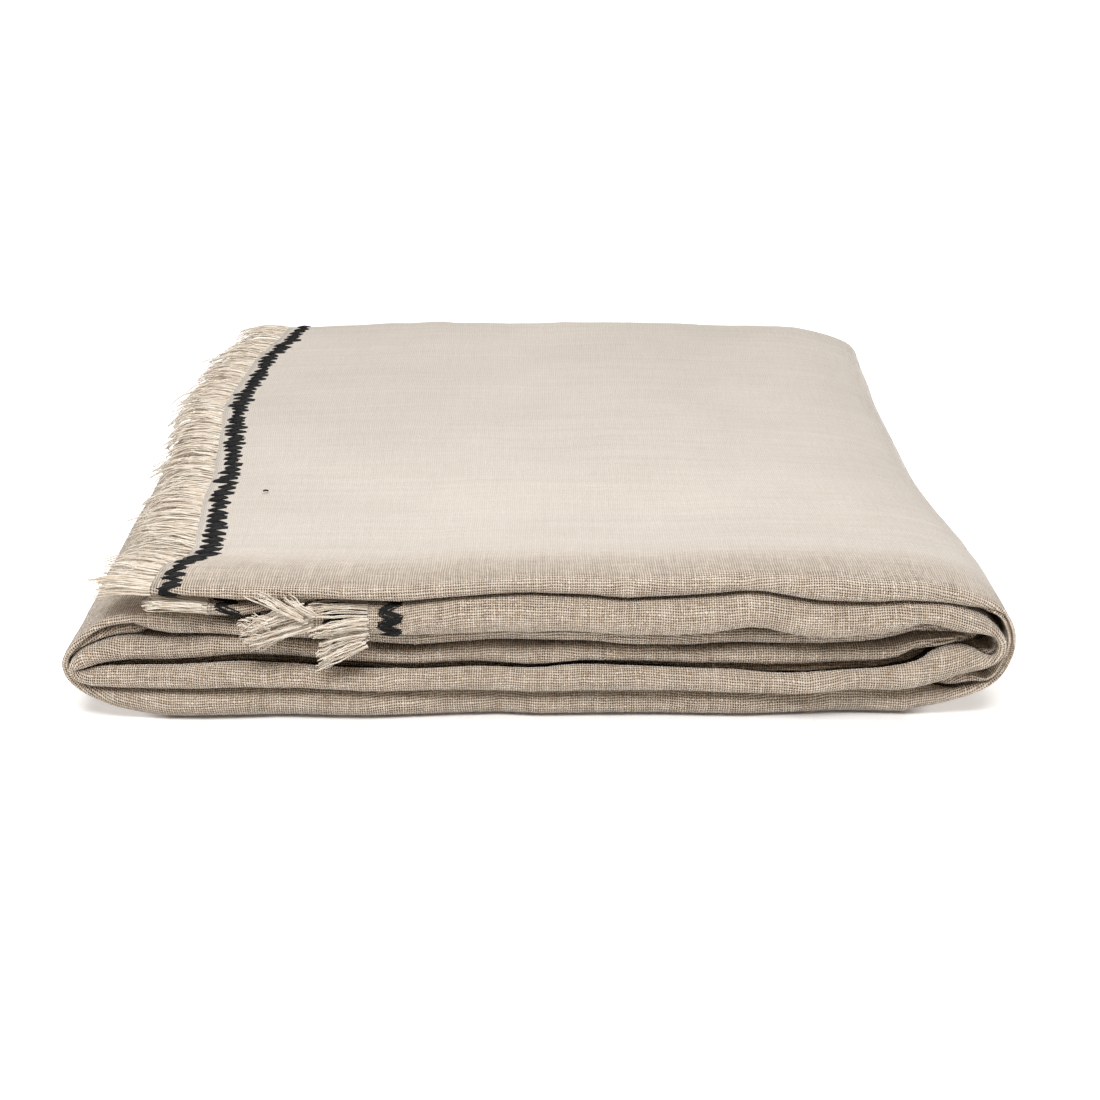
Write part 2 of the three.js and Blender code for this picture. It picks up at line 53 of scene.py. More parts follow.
COLUMNS = ["x", "five", "four", "under", "mid", "three", "over", "two", "top"]
FRONT_ROWS = [
    (-190, 14.6, 25.6, 25.6, 37, 49, 50, 54, 63.5),
    (-165, 14.2, 25.4, 25.4, 36.5, 49.6, 50, 53.2, 65.4),
    (-138, 15.4, 28, 28, 37.5, 47, 47.6, 50.2, 65.6),
    (-112, 14.8, 27, 27, 35.6, 43, 43, 53, 65.4),
    (-88, 14, 25, 25, 33.4, 41.4, 41.4, 57.2, 65.6),
    (-62, 13, 24, 24, 32, 40, 40, 58.4, 66.5),
    (-35, 13.6, 25, 25, 34, 41.4, 41.4, 60.4, 68),
    (-8, 12.6, 24.2, 24.2, 34.6, 42.2, 42.2, 60.6, 69),
    (20, 13.2, 26.2, 26.2, 34.8, 42, 42, 59.4, 69.4),
    (75, 13, 24.8, 24.8, 33, 41.2, 41.6, 60, 70.2),
    (95, 13.2, 24, 24, 32.8, 40.8, 44.2, 61.6, 70.8),
    (115, 13.2, 23.6, 23.6, 32.6, 40.2, 40.2, 58, 70.2),
    (140, 14.2, 24.6, 24.6, 32.8, 40.4, 40.4, 57.6, 69.6),
    (160, 13.4, 25.6, 26.6, 34.8, 42, 42.2, 58.2, 68.4),
    (168, 13.8, 27.2, 29.9, 36.6, 42.1, 42.4, 57.6, 67.2),
    (176, 14, 29.4, 33.2, 38.4, 42.2, 42.8, 56.8, 66),
]
BACK_ROWS = [
    (-190, 12.6, 24.2, 24.2, 34.4, 44.4, 51.5, 53.5, 66),
    (-120, 12.2, 23.8, 23.8, 34, 44, 44, 56, 68),
    (-60, 12.2, 23.6, 23.6, 33.8, 43.6, 43.6, 57.4, 70.6),
    (0, 11.8, 23.2, 23.2, 33.4, 43.8, 43.8, 57, 69.4),
    (60, 12.2, 23.6, 23.6, 33.8, 44, 44, 57.6, 70.8),
    (120, 12, 23.2, 23.2, 33.4, 43.4, 43.4, 56.2, 68),
    (160, 12.8, 24.8, 27.4, 34.6, 42.2, 42.4, 56.6, 67.2),
    (176, 13.2, 27.6, 33.4, 38.2, 42.2, 42.8, 56, 66),
]
# Depths between which the front rows give way to the back rows
NODES = (35, 190)

# Bands of the folded strip, from the fringed end on top to the one beneath it: the lines below and above,
# the side its outer face is on, its leading nose, how far back its front lies and how that sways
BANDS = dict(
    one=dict(low="two", high="top", up=1, lead=1, front=4, skew=0, wave=0.8, phase=0.3),
    five=dict(low=None, high="five", up=-1, lead=1, front=5.6, skew=2.6, wave=0.8, phase=2.1),
    three_top=dict(low="mid", high="three", up=1, lead=1, front=11.5, skew=0, wave=1, phase=4),
    three_low=dict(low="under", high="mid", up=-1, lead=2, front=8.8, skew=0, wave=1, phase=5.2),
    four=dict(low="five", high="four", up=1, lead=2, front=2, skew=0, wave=0.8, phase=1.2),
    two=dict(low="over", high="two", up=-1, lead=2, front=0.5, skew=0, wave=0.6, phase=3.3),
)
SKEW_REACH = 200
# Ripples of a band's front: length, share of the band's phase, rise
RIPPLES = [(31, 1, 1), (13, 2, 0.6)]

# Turns that join the bands, from the upper to the lower one. Each wall row gives x and height of the
# face turned away from the stack and of the face turned into it. Noses: degrees, how much the leading
# nose covers the other, and how far the other is tucked back
TURNS = dict(
    outer_right=dict(top_x=156, low_x=164, front=5, upper="one", lower="five", outer=1, steps=34,
        noses=[(0, 1, 1), (36, 1, 1), (62, 0, 0), (118, 0, 0), (160, 0.2, 0.5), (180, 1, 1)], wall=[
        (156, 68.6, 156, 58.4), (168, 67.4, 168, 57.8), (180, 65.2, 179, 57.2), (190, 62.2, 187, 55.6),
        (198, 58.6, 194.4, 53.8), (203.8, 54.4, 200.6, 51.8), (207.4, 49.4, 203.8, 48.2), (209.6, 43.4, 206, 43),
        (210, 36.6, 206.2, 36.8), (208.6, 29.4, 205, 31.4), (205.6, 22.6, 202.6, 25.6), (200.8, 17, 198.6, 22),
        (193.8, 12.2, 192.2, 22.8), (184.6, 7.8, 184.4, 20.2), (175, 3.9, 175.4, 16.4), (164, 0, 164, 13.4)]),
    outer_left=dict(top_x=-180, low_x=-167, front=4.5, upper="three_top", lower="five", outer=1, steps=34,
        noses=[(0, 0.06, 0.9), (40, 0.12, 0.6), (84, 1, 1), (180, 1, 1)], wall=[
        (-180, 49.2, -180, 36.4), (-188, 48.2, -188, 36.5), (-195, 46, -195, 36.1), (-201.5, 42, -200.8, 35.1),
        (-206.6, 37.2, -204.9, 33), (-210.2, 32, -207.8, 29.7), (-211.7, 26.8, -208.7, 26),
        (-210.6, 20.8, -207.8, 21.8), (-207, 15.6, -204.8, 18.3), (-201.8, 11.2, -200.2, 15.9),
        (-195, 7.4, -194.1, 14.7), (-186, 3.9, -187, 14.2), (-177, 1.5, -178, 14.1), (-167, 0, -167, 14.1)]),
    middle=dict(top_x=176, low_x=176, front=13, upper="three_top", lower="three_low", outer=1, steps=16,
        noses=[(0, 0, 0), (180, 0, 0)], wall=[
        (176, 42.2, 176, 38.8), (184, 42.3, 183, 39.3), (189, 42, 187.5, 39.3), (193.2, 40.8, 190.2, 39.2),
        (194.8, 39, 191, 39), (193.2, 37.2, 190.2, 38.8), (189, 36, 187.5, 38.7), (184, 35.6, 183, 38.6),
        (176, 34, 176, 38.2)]),
    inner_left=dict(top_x=-180, low_x=-180, front=1.5, upper="three_low", lower="four", outer=2, steps=30,
        noses=[(0, 1, 1), (180, 1, 1)], wall=[
        (-180, 36, -180, 26.1), (-188, 36.1, -187, 26.1), (-195, 35.7, -193.5, 26.1), (-200.5, 34.7, -198.5, 26.1),
        (-204.5, 32.7, -202, 26), (-207.3, 29.6, -204.4, 25.9), (-208.3, 26, -205, 25.7),
        (-207.4, 22, -204.4, 25.5), (-204.5, 18.7, -202, 25.4), (-200, 16.3, -198.5, 25.3),
        (-194, 15.1, -193.5, 25.3), (-187, 14.7, -187, 25.2), (-180, 14.6, -180, 25.2)]),
    inner_right=dict(top_x=168, low_x=160, front=1, upper="two", lower="four", outer=2, steps=36,
        noses=[(0, 1, 1), (180, 1, 1)], wall=[
        (168, 57.4, 168, 42.8), (178, 56.8, 178, 43), (186.5, 54.8, 186, 42.9), (192.8, 52.2, 192, 42.9),
        (197.8, 49, 197, 42.8), (202.2, 45.2, 200, 41.8), (204.9, 41.4, 201.2, 39.6), (205.2, 37.6, 201.4, 37.6),
        (204, 33.8, 200.6, 35.4), (201, 30.2, 198.6, 33.8), (196, 26.8, 195, 34.2), (190, 23.6, 190.5, 35.6),
        (183, 20.2, 184.5, 35.1), (176, 17.4, 177.5, 32.8), (168.5, 15, 169.5, 27.6), (160, 13.4, 160, 25)]),
)
# Bands in their order along the strip, the turn that each runs into, and whether that leads downwards. The
# last band is the one called two
ROUTE = [("one", "outer_right", True), ("five", "outer_left", False), ("three_top", "middle", True),
         ("three_low", "inner_left", True), ("four", "inner_right", False)]
# Degrees over which a turn's walls, front and noses pass from its bands' own to the turn's
WALL_EASE, FRONT_EASE, NOSE_EASE = 90, 70, 30
WALLS = {name: np.column_stack([np.arange(len(turn["wall"])), turn["wall"]]) for name, turn in TURNS.items()}

# Where a covering nose draws back and its twin shows: at, width, cover left, how far back the twin lies
PEEKS = dict(two=[(172, 9, 0.45, 1)], three_top=[(-181, 9, 0.06, 0.9)])
# Towards the fringed end on top its two noses part: x, cover, how far the lower one lies back
PARTED = [(-170, 0, 0.3), (-145, 0, 0.55), (-122, 0.15, 0.8), (-104, 0.4, 1), (-66, 1, 1)]
# Past the end of its twin the under end's other nose comes forward and fills its band
UNCOVERED = dict(since=-76, until=-92, share=0.85)
# Towards their own fold these bands lose their cover and lie further back
BARED = dict(bands=("three_top", "three_low"), cover=(156, 174), tuck=(168, 179))
SET_BACK = dict(since=110, until=172, deep=3)
# Dents in a band's front: x, width, depth
DENTS = dict(four=[(167, 7, 2.6), (-62, 9, 1)], two=[(172, 12, 1.2)], five=[(-20, 12, 1.2)])

# Outlines of the two fringed ends: x of the woven edge at depths from the front, for each nose
END_TOP = [(0, -169.5), (22, -170.2), (32, -168), (37, -162.5), (44, -158.5), (61, -160), (82, -161.7),
           (101, -163.4), (124, -163.8), (146, -165.4), (174, -168.4), (205, -172.2), (225, -175),
           (250, -176), (292, -173), (332, -169.7), (366, -161), (389, -158.5)]
END_TOP_TWIN = [(0, -145.5), (30, -147), (60, -149), (150, -157), (260, -161), (389, -155)]
END_UNDER = [(0, -75.5), (60, -76), (170, -72), (290, -77), (350, -75), (389, -74)]
END_UNDER_TWIN = [(0, -99.5), (60, -99), (170, -96), (290, -88), (350, -75), (389, -74)]
# Where the stations begin to run out to each end, and the slack round the under end
END_BEND_TOP, END_BEND_UNDER = -62, -35
END_SLACK, SLACK_RUN = 0.6, 20

# How far the right side is drawn in, by depth, and where across that begins and is reached
DRAWN_SIDE = (20, 200)
DRAWN_IN = [(0, 0), (50, 1.5), (90, 5), (130, 10.5), (180, 13.5), (250, 14), (320, 12.5), (389, 10)]
# Soft dents and swells: x, depth, width, depth extent, rise
SWELLS = [(45, 72, 62, 30, -1.6), (-60, 170, 70, 60, 0.9), (95, 230, 60, 70, 0.8)]
HEIGHT = 70.0

# Spacing of the sheet's stations, and the counts of points in each part of them
STATION_STEP = 8.2
END_STEPS = 18
ARC_STEPS = 12
RISE_STEPS = 4
INNER_STEPS = 7
FOLD_STEPS = 7
OUTER_STEPS = 31
# The outer ply's points lie closer at the front: the share of their spacing that stays even
EVEN_SHARE = 0.35
# The hem's distance from the fold, the gap between the noses, where a nose's height is read, and the
# shortest run of the inner ply down to its nose
HEM_BACK, NOSE_GAP, NOSE_AT, RISE_RUN = 12.0, 0.6, 4.0, 3.0
# How deep noses are: a share of their height, and the most for the leading one, the other and the fold
NOSE_DEEP = dict(share=1.15, lead=8, twin=6, back=5)


def mix(a, b, t):
    return a + (b - a) * t


def smooth(a, b, v):
    t = np.clip((v - a) / (b - a), 0, 1)
    return t * t * (3 - 2 * t)


def curve(rows, at, column=1):
    """Smooth curve through a table's rows, read in one column."""
    table = np.asarray(rows, float)
    knots, values = table[:, 0], table[:, column]
    at = np.clip(at, knots[0], knots[-1])
    i = np.clip(np.searchsorted(knots, at, side="right") - 1, 0, len(knots) - 2)
    every = np.arange(len(knots))
    ahead, behind = np.minimum(every + 1, len(knots) - 1), np.maximum(every - 1, 0)
    tangent = (values[ahead] - values[behind]) / (knots[ahead] - knots[behind])
    span = knots[i + 1] - knots[i]
    t = (at - knots[i]) / span
    level = (1 + 2 * t) * (1 - t) ** 2 * values[i] + t * t * (3 - 2 * t) * values[i + 1]
    return level + span * (t * (1 - t) ** 2 * tangent[i] + t * t * (t - 1) * tangent[i + 1])


def line_height(name, x, y):
    """Height of the line between two bands."""
    if name is None:
        return np.zeros_like(y)
    back = np.clip((y - NODES[0]) / (NODES[1] - NODES[0]), 0, 1)
    front_line, back_line = (curve(rows, x, COLUMNS.index(name)) for rows in (FRONT_ROWS, BACK_ROWS))
    return mix(front_line, back_line, back)


def band_at(name, x, y):
    """Middle, side and half thickness of a band."""
    band = BANDS[name]
    x = np.broadcast_to(np.asarray(x, float), np.shape(y))
    slack = END_SLACK * smooth(END_BEND_UNDER, END_BEND_UNDER - SLACK_RUN, x) if name == "two" else 0
    low = line_height(band["low"], x, y) + (AIR / 2 if band["low"] else 0) + slack
    high = line_height(band["high"], x, y) - AIR / 2 - slack
    return dict(x=x, z=(low + high) / 2, side=(0.0 * x, band["up"] + 0.0 * x), half=(high - low) / 2)


def near_ends(degrees, ease):
    """How near a place on a turn is to its upper and to its lower band, from 0 to 1."""
    return 1 - smooth(0, ease, degrees), 1 - smooth(0, ease, 180 - degrees)


def turn_at(name, degrees, y):
    """The same round a turn, from 0 degrees at its upper band to 180 at its lower one."""
    turn, wall = TURNS[name], WALLS[name]
    upper = band_at(turn["upper"], turn["top_x"], y)
    lower = band_at(turn["lower"], turn["low_x"], y)
    at = degrees / 180 * wall[-1, 0]
    away_x, away_z, into_x, into_z = (curve(wall, at, column) for column in (1, 2, 3, 4))
    near_top, near_low = near_ends(degrees, WALL_EASE)
    away_z += (near_top * (upper["z"] + upper["half"] - wall[0, 2])
               + near_low * (lower["z"] - lower["half"] - wall[-1, 2]))
    into_z += (near_top * (upper["z"] - upper["half"] - wall[0, 4])
               + near_low * (lower["z"] + lower["half"] - wall[-1, 4]))
    x, z = (away_x + into_x) / 2 + 0 * y, (away_z + into_z) / 2
    half = np.hypot(away_x - into_x, away_z - into_z) / 2
    sign = 1 if turn["outer"] == 1 else -1
    side = ((away_x - into_x) / (2 * half) * sign, (away_z - into_z) / (2 * half) * sign)
    return dict(x=x, z=z, side=side, half=half)


def band_front(name, x):
    """How far back a band's front lies there, and how much its leading nose covers the other."""
    band = BANDS[name]
    ripple = sum(rise * math.sin(x / length + times * band["phase"]) for length, times, rise in RIPPLES)
    cover, tucked = 1.0, 1.0
    for at, width, left, back in PEEKS.get(name, []):
        share = math.exp(-(((x - at) / width) ** 2))
        cover *= 1 - (1 - left) * share
        tucked *= 1 - (1 - back) * share
    if name == "one":
        cover, tucked = curve(PARTED, x, 1), curve(PARTED, x, 2)
    front = band["front"] + band["skew"] * x / SKEW_REACH + band["wave"] * ripple
    if name in BARED["bands"]:
        cover *= 1 - smooth(*BARED["cover"], x)
        tucked = 1 - smooth(*BARED["tuck"], x)
        front += SET_BACK["deep"] * smooth(SET_BACK["since"], SET_BACK["until"], x)
    for at, width, deep in DENTS.get(name, []):
        front += deep * math.exp(-(((x - at) / width) ** 2))
    return dict(front=front, cover=float(cover), tucked=float(tucked), lead=band["lead"])


def band_stations(name, start, stop):
    """Stations along a band, each with its section's place, front and noses."""
    count = max(int(abs(stop - start) / STATION_STEP), 2)
    return [dict(at=lambda y, nose, x=x: band_at(name, x, y), **band_front(name, x))
            for x in np.linspace(start, stop, count + 1)]


def turn_stations(name, from_upper):
    """Stations round a turn, between those of its two bands."""
    turn = TURNS[name]
    upper, lower = band_front(turn["upper"], turn["top_x"]), band_front(turn["lower"], turn["low_x"])
    found = []
    for i in range(1, turn["steps"]):
        degrees = 180 * i / turn["steps"]
        if not from_upper:
            degrees = 180 - degrees
        top, low = near_ends(degrees, FRONT_EASE)
        front = turn["front"] + top * (upper["front"] - turn["front"]) + low * (lower["front"] - turn["front"])
        near_top, near_low = near_ends(degrees, NOSE_EASE)
        cover, tucked = (near_top * upper[key] + near_low * lower[key]
                         + (1 - near_top - near_low) * curve(turn["noses"], degrees, column)
                         for key, column in (("cover", 1), ("tucked", 2)))
        lead = turn["outer"]
        if name == "middle":
            lead = 1 if degrees < 90 else 2
        at = lambda y, nose, degrees=degrees: turn_at(name, degrees, y)
        found.append(dict(at=at, front=front, cover=cover, tucked=tucked, lead=lead))
    return found


def end_stations(name, bend, outlines):
    """Stations that run out to an uneven fringed end."""
    found = []
    for share in np.arange(1, END_STEPS + 1) / END_STEPS:
        def reach(nose, y, share=share):
            one, other = curve(outlines[0], y), curve(outlines[1], y)
            return mix(bend, np.where(nose == 1, one, other), share)

        lead = BANDS[name]["lead"]
        front = band_front(name, float(reach(lead, 0.0)))
        if name == "two":
            twin_x = float(reach(3 - lead, 0.0))
            bare = smooth(UNCOVERED["since"], UNCOVERED["until"], twin_x)
            front["tucked"] *= 1 - UNCOVERED["share"] * bare
            front["filled"] = bare
        at = lambda y, nose, reach=reach: band_at(name, reach(nose, y), y)
        found.append(dict(at=at, **front))
    return found


def cloth_stations():
    """Every station along the strip, from the fringed end on top to the one beneath it."""
    found = end_stations("one", END_BEND_TOP, (END_TOP, END_TOP_TWIN))[::-1]
    start = END_BEND_TOP
    for band, turn, downwards in ROUTE:
        enter, leave = (TURNS[turn][key] for key in (("top_x", "low_x") if downwards else ("low_x", "top_x")))
        found += band_stations(band, start, enter) + turn_stations(turn, downwards)
        start = leave
    found += band_stations("two", start, END_BEND_UNDER)
    return found + end_stations("two", END_BEND_UNDER, (END_UNDER_TWIN, END_UNDER))


def arm(station, nose):
    """Half of the section, from a long hem through its inner ply, nose and outer ply to the back fold."""
    def half(y, which):
        y = np.atleast_1d(np.asarray(y, float))
        return np.broadcast_to(station["at"](y, np.full(y.shape, which))["half"], y.shape)

    def outer(value):
        return value - SHEET / 2

    def inner(value):
        return (2 * value - SHEET) / 6

    lead, front = station["lead"], station["front"]
    front_half = half(front + NOSE_AT, lead)[0]
    top = outer(front_half)
    bottom = mix(inner(front_half), -top, station["cover"])
    tall = (top - bottom) / 2
    deep = min(tall * NOSE_DEEP["share"], NOSE_DEEP["lead"])
    rise = inner(front_half) - bottom
    run = max(rise, RISE_RUN)
    if nose != lead:
        front = station["front"] + station["tucked"] * (deep + rise + SHEET + NOSE_GAP)
        front_half = half(front + NOSE_AT, nose)[0]
        top = outer(front_half)
        bottom = mix(inner(front_half), -top, station.get("filled", 0.0))
        tall = (top - bottom) / 2
        deep, run = min(tall, NOSE_DEEP["twin"]), max(inner(front_half) - bottom, RISE_RUN)

    back_half = half(DEPTH, 1)[0]
    back_deep = min(outer(back_half), NOSE_DEEP["back"])
    fold_y = DEPTH - back_deep - SHEET / 2
    hem_y = DEPTH - back_deep - HEM_BACK
    inner_y = np.linspace(hem_y, front + deep + run, INNER_STEPS + 1)[:-1]
    rise_t = np.linspace(0, 1, RISE_STEPS + 1)[:-1]
    rise_y = front + deep + run * (1 - rise_t)
    angle = np.radians(np.linspace(270, 90, ARC_STEPS + 1))
    arc_y = front + deep * (1 + np.cos(angle))
    spread = np.linspace(0, 1, OUTER_STEPS + 1)[1:]
    outer_y = mix(front + deep, fold_y, EVEN_SHARE * spread + (1 - EVEN_SHARE) * spread ** 2)
    quarter = np.radians(np.linspace(0, 90, FOLD_STEPS + 1))[1:]
    fold_at = fold_y + back_deep * np.sin(quarter)
    y = np.concatenate([inner_y, rise_y, arc_y, outer_y, fold_at])
    side = np.concatenate([
        inner(half(inner_y, nose)),
        mix(inner(half(rise_y, nose)), bottom, smooth(0, 1, rise_t)),
        (top + bottom) / 2 + tall * np.sin(angle),
        outer(half(outer_y, nose)),
        outer(back_half) * np.cos(quarter),
    ])
    return y, side


# Soft unevenness that runs through every layer alike: size of the lumps, their rise in millimetres and
# where in the noise they lie. Close to the ground the lumps fade out, and only part of those in depth stays
LUMPS = [(46.0, 1.5, 3.0), (19.0, 0.75, 17.0), (8.5, 0.28, 41.0)]
GROUND_EASE = 9
# Without a seed of its own this noise starts from the clock, and the folds would differ in each run
noise.seed_set(5)


def rumpled(points):
    """The points moved a little, so the folds swell and sink as soft cloth does."""
    moved = points.copy()
    near_ground = smooth(0, GROUND_EASE, points[:, 2])
    share = np.stack([0.5 * near_ground, 0.5 + 0.5 * near_ground, 0.75 * near_ground], axis=1)
    for size, rise, place in LUMPS:
        shift = np.array([noise.noise_vector(Vector(p) / size + Vector((place, 0, 0))) for p in points])
        moved += shift * rise * share
    return moved


def section(station):
    """Points of a whole section, from hem to hem."""
    y1, side1 = arm(station, 1)
    y2, side2 = arm(station, 2)
    y = np.concatenate([y1, y2[:-1][::-1]])
    side = np.concatenate([side1, -side2[:-1][::-1]])
    nose = np.concatenate([np.full(len(y1), 1), np.full(len(y2) - 1, 2)])
    strip = station["at"](np.clip(y, 0, DEPTH), nose)
    x = strip["x"] + strip["side"][0] * side
    z = strip["z"] + strip["side"][1] * side
    drawn = curve(DRAWN_IN, np.clip(y, 0, DEPTH)) * smooth(*DRAWN_SIDE, x)
    lift = np.zeros_like(x)
    for at_x, at_y, wide, deep, raised in SWELLS:
        lift += raised * np.exp(-(((x - at_x) / wide) ** 2) - ((y - at_y) / deep) ** 2)
    return rumpled(np.stack([x - drawn, y, z * (1 + lift / HEIGHT)], axis=1))


# Columns where the parts of a section start: inner ply, nose, outer ply and fold, then the same back
ARM_COUNTS = [INNER_STEPS + RISE_STEPS, ARC_STEPS + 1, OUTER_STEPS, FOLD_STEPS]
BACK_COUNTS = [FOLD_STEPS - 1, OUTER_STEPS, ARC_STEPS + 1, INNER_STEPS + RISE_STEPS]
PART_STARTS = np.cumsum([0] + ARM_COUNTS + BACK_COUNTS)
MIDDLE = sum(ARM_COUNTS) - 1


def folded_grid():
    """The fold map: points of the sheet by station and place across, in metres in the frame."""
    grid = np.array([section(station) for station in cloth_stations()])
    low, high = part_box("cloth")
    middle = (grid.reshape(-1, 3).min(0) + grid.reshape(-1, 3).max(0)) / 2
    grid[..., 0] += (low.x + high.x) / 2 / MM - middle[0]
    grid[..., 1] += (low.y + high.y) / 2 / MM - middle[1]
    return grid * MM


def lengths(points, axis):
    """Distance walked along one way of a grid of points."""
    steps = np.linalg.norm(np.diff(points, axis=axis), axis=-1)
    start = np.zeros_like(np.take(steps, [0], axis=axis))
    return np.concatenate([start, np.cumsum(steps, axis=axis)], axis=axis)


GRID = folded_grid()
ALONG = lengths(GRID, 0).mean(axis=1)
ACROSS = lengths(GRID, 1)
ACROSS -= ACROSS[:, [MIDDLE]]


def add_object(name, data):
    thing = bpy.data.objects.new(name, data)
    bpy.context.collection.objects.link(thing)
    return thing


def grid_mesh(name, x_segments, y_segments, size):
    """A flat square grid, size to each side of its middle."""
    form = bmesh.new()
    bmesh.ops.create_grid(form, x_segments=x_segments, y_segments=y_segments, size=size)
    mesh = bpy.data.meshes.new(name)
    form.to_mesh(mesh)
    form.free()
    return mesh


def make_cloth():
    """The sheet, a grid moved by the fold map, with its cut coordinates in metres as its map."""
    rows, columns = GRID.shape[:2]
    mesh = grid_mesh("linen_cloth", rows - 1, columns - 1, 1)
    flat = np.zeros(len(mesh.vertices) * 3)
    mesh.vertices.foreach_get("co", flat)
    flat = flat.reshape(-1, 3)
    i = np.rint((flat[:, 0] + 1) / 2 * (rows - 1)).astype(int)
    j = np.rint((flat[:, 1] + 1) / 2 * (columns - 1)).astype(int)
    mesh.vertices.foreach_set("co", GRID[i, j].ravel())
    corner = np.zeros(len(mesh.loops), int)
    mesh.loops.foreach_get("vertex_index", corner)
    cut = mesh.uv_layers.new(name="cut")
    place = np.stack([ALONG[i], ACROSS[i, j]], axis=1)[corner]
    cut.uv.foreach_set("vector", place.ravel())
    mesh.polygons.foreach_set("use_smooth", np.ones(len(mesh.polygons), bool))
    mesh.update()
    sheet = add_object("linen_cloth", mesh)
    solidify = sheet.modifiers.new("cloth thickness", "SOLIDIFY")
    solidify.thickness = SHEET * MM
    solidify.offset = 0
    return sheet


def sample(rows, i, j):
    """Points of a grid at fractional places."""
    i = np.clip(i, 0, rows.shape[0] - 1.001)
    j = np.clip(j, 0, rows.shape[1] - 1.001)
    i0, j0 = i.astype(int), j.astype(int)
    fi, fj = (i - i0)[:, None], (j - j0)[:, None]
    low = rows[i0, j0] * (1 - fj) + rows[i0, j0 + 1] * fj
    high = rows[i0 + 1, j0] * (1 - fj) + rows[i0 + 1, j0 + 1] * fj
    return low * (1 - fi) + high * fi


def unit(ways):
    return ways / np.linalg.norm(ways, axis=1, keepdims=True)


class FringedEnd:
    """A woven edge: points by distance across the cloth and inset from the edge, in metres."""

    PROBE = 1.5 * MM

    def __init__(self, rows, outward):
        self.rows = rows
        self.across = lengths(rows[0], 0)
        self.inward = lengths(rows, 0)
        self.width = self.across[-1]
        self.outward = outward

    def column(self, across):
        return np.interp(across, self.across, np.arange(len(self.across)))

    def at(self, across, inset):
        j = self.column(across)
        near = np.clip(np.rint(j).astype(int), 0, len(self.across) - 1)
        i = np.array([np.interp(depth, self.inward[:, k], np.arange(len(self.rows)))
                      for depth, k in zip(inset, near)])
        return sample(self.rows, i, j)

    def frame(self, across, inset):
        """Point, way out past the edge, way along the edge and the cloth's own normal there."""
        step = self.PROBE
        out = unit(self.at(across, np.maximum(inset - step, 0)) - self.at(across, inset + step))
        beside = unit(self.at(across + step, inset) - self.at(across - step, inset))
        normal = unit(np.cross(beside, out) * self.outward)
        return self.at(across, inset), out, beside, normal

    def place(self, across):
        """Which part of the section, counted from a hem, and how far along it."""
        return np.interp(self.column(across), PART_STARTS, np.arange(len(PART_STARTS)))


TOP_END = FringedEnd(GRID[:END_STEPS + 4], 1)
UNDER_END = FringedEnd(GRID[::-1][:END_STEPS + 4], -1)


def strands(name, paths):
    """One mesh of many thin strands, each a tube along its own points."""
    route = bpy.data.curves.new(name, "CURVE")
    route.dimensions = "3D"
    route.bevel_depth = 1
    route.bevel_resolution = 0
    route.use_fill_caps = True
    for points, radii in paths:
        spline = route.splines.new("POLY")
        spline.points.add(len(points) - 1)
        spline.points.foreach_set("co", np.column_stack([points, np.ones(len(points))]).ravel())
        spline.points.foreach_set("radius", np.asarray(radii, float))
    tube = add_object(name + "_route", route)
    bpy.context.view_layer.update()
    mesh = bpy.data.meshes.new_from_object(tube.evaluated_get(bpy.context.evaluated_depsgraph_get()))
    bpy.data.objects.remove(tube)
    mesh.name = name
    mesh.polygons.foreach_set("use_smooth", np.ones(len(mesh.polygons), bool))
    return add_object(name, mesh)


# Zigzag stitching: each stroke is a few strands of thread side by side, low and thinner at its corners.
# Millimetres, apart from the shares at the ends. A corner's own place is a share of a stroke
STITCH = dict(spacing=0.45, radius=0.37, points=5, lift=0.4, more_lift=0.3, end_lift=0.2, sunk=0.1, end_radius=0.75)
STITCH_STRAY = dict(corner_inset=0.95, corner_place=0.2, stroke=0.25, strand=0.12, strand_inset=0.45, bow=0.2)
# A snippet of thread that lies on the top panel
SNIPPET = np.array([-133.0, -83.0, 67.7]) + np.array([(-1.3, -0.3, 0), (0, 0.2, 0.1), (1.3, -0.1, 0)])
SNIPPET_RADIUS = 0.45


def zigzag(name, end, seed, threads, inset, width, half_period, loose=()):
    """Stitches beside a woven edge, and what lies loose beside them."""
    random = np.random.default_rng(seed)
    stray = STITCH_STRAY
    half_period *= MM
    strokes = int(end.width / half_period) - 1
    insets = (inset, inset + width)
    corners = np.array([[insets[k % 2] + random.normal(0, stray["corner_inset"]),
                         (k + random.normal(0, stray["corner_place"])) * half_period]
                        for k in range(strokes + 1)])
    t = np.linspace(0, 1, STITCH["points"])
    bow = np.sin(t * math.pi)
    thin = STITCH["end_radius"] + (1 - STITCH["end_radius"]) * bow
    paths = []
    for k in range(strokes):
        shift = random.normal(0, stray["stroke"])
        for n in range(threads):
            beside = (n - (threads - 1) / 2) * STITCH["spacing"] + random.normal(0, stray["strand"])
            across = mix(corners[k, 1], corners[k + 1, 1], t) + (shift + beside) * MM
            inset = mix(corners[k, 0], corners[k + 1, 0], t) + random.normal(0, stray["strand_inset"])
            point, _, along, normal = end.frame(np.clip(across, 0, end.width), inset * MM)
            lift = STITCH["lift"] + STITCH["more_lift"] * random.random()
            lift *= STITCH["end_lift"] + (1 - STITCH["end_lift"]) * bow
            point = point + normal * (SHEET / 2 - STITCH["sunk"] + lift)[:, None] * MM
            point = point + along * (random.normal(0, stray["bow"]) * bow)[:, None] * MM
            paths.append((point, STITCH["radius"] * MM * thin))
    return strands(name, paths + list(loose))


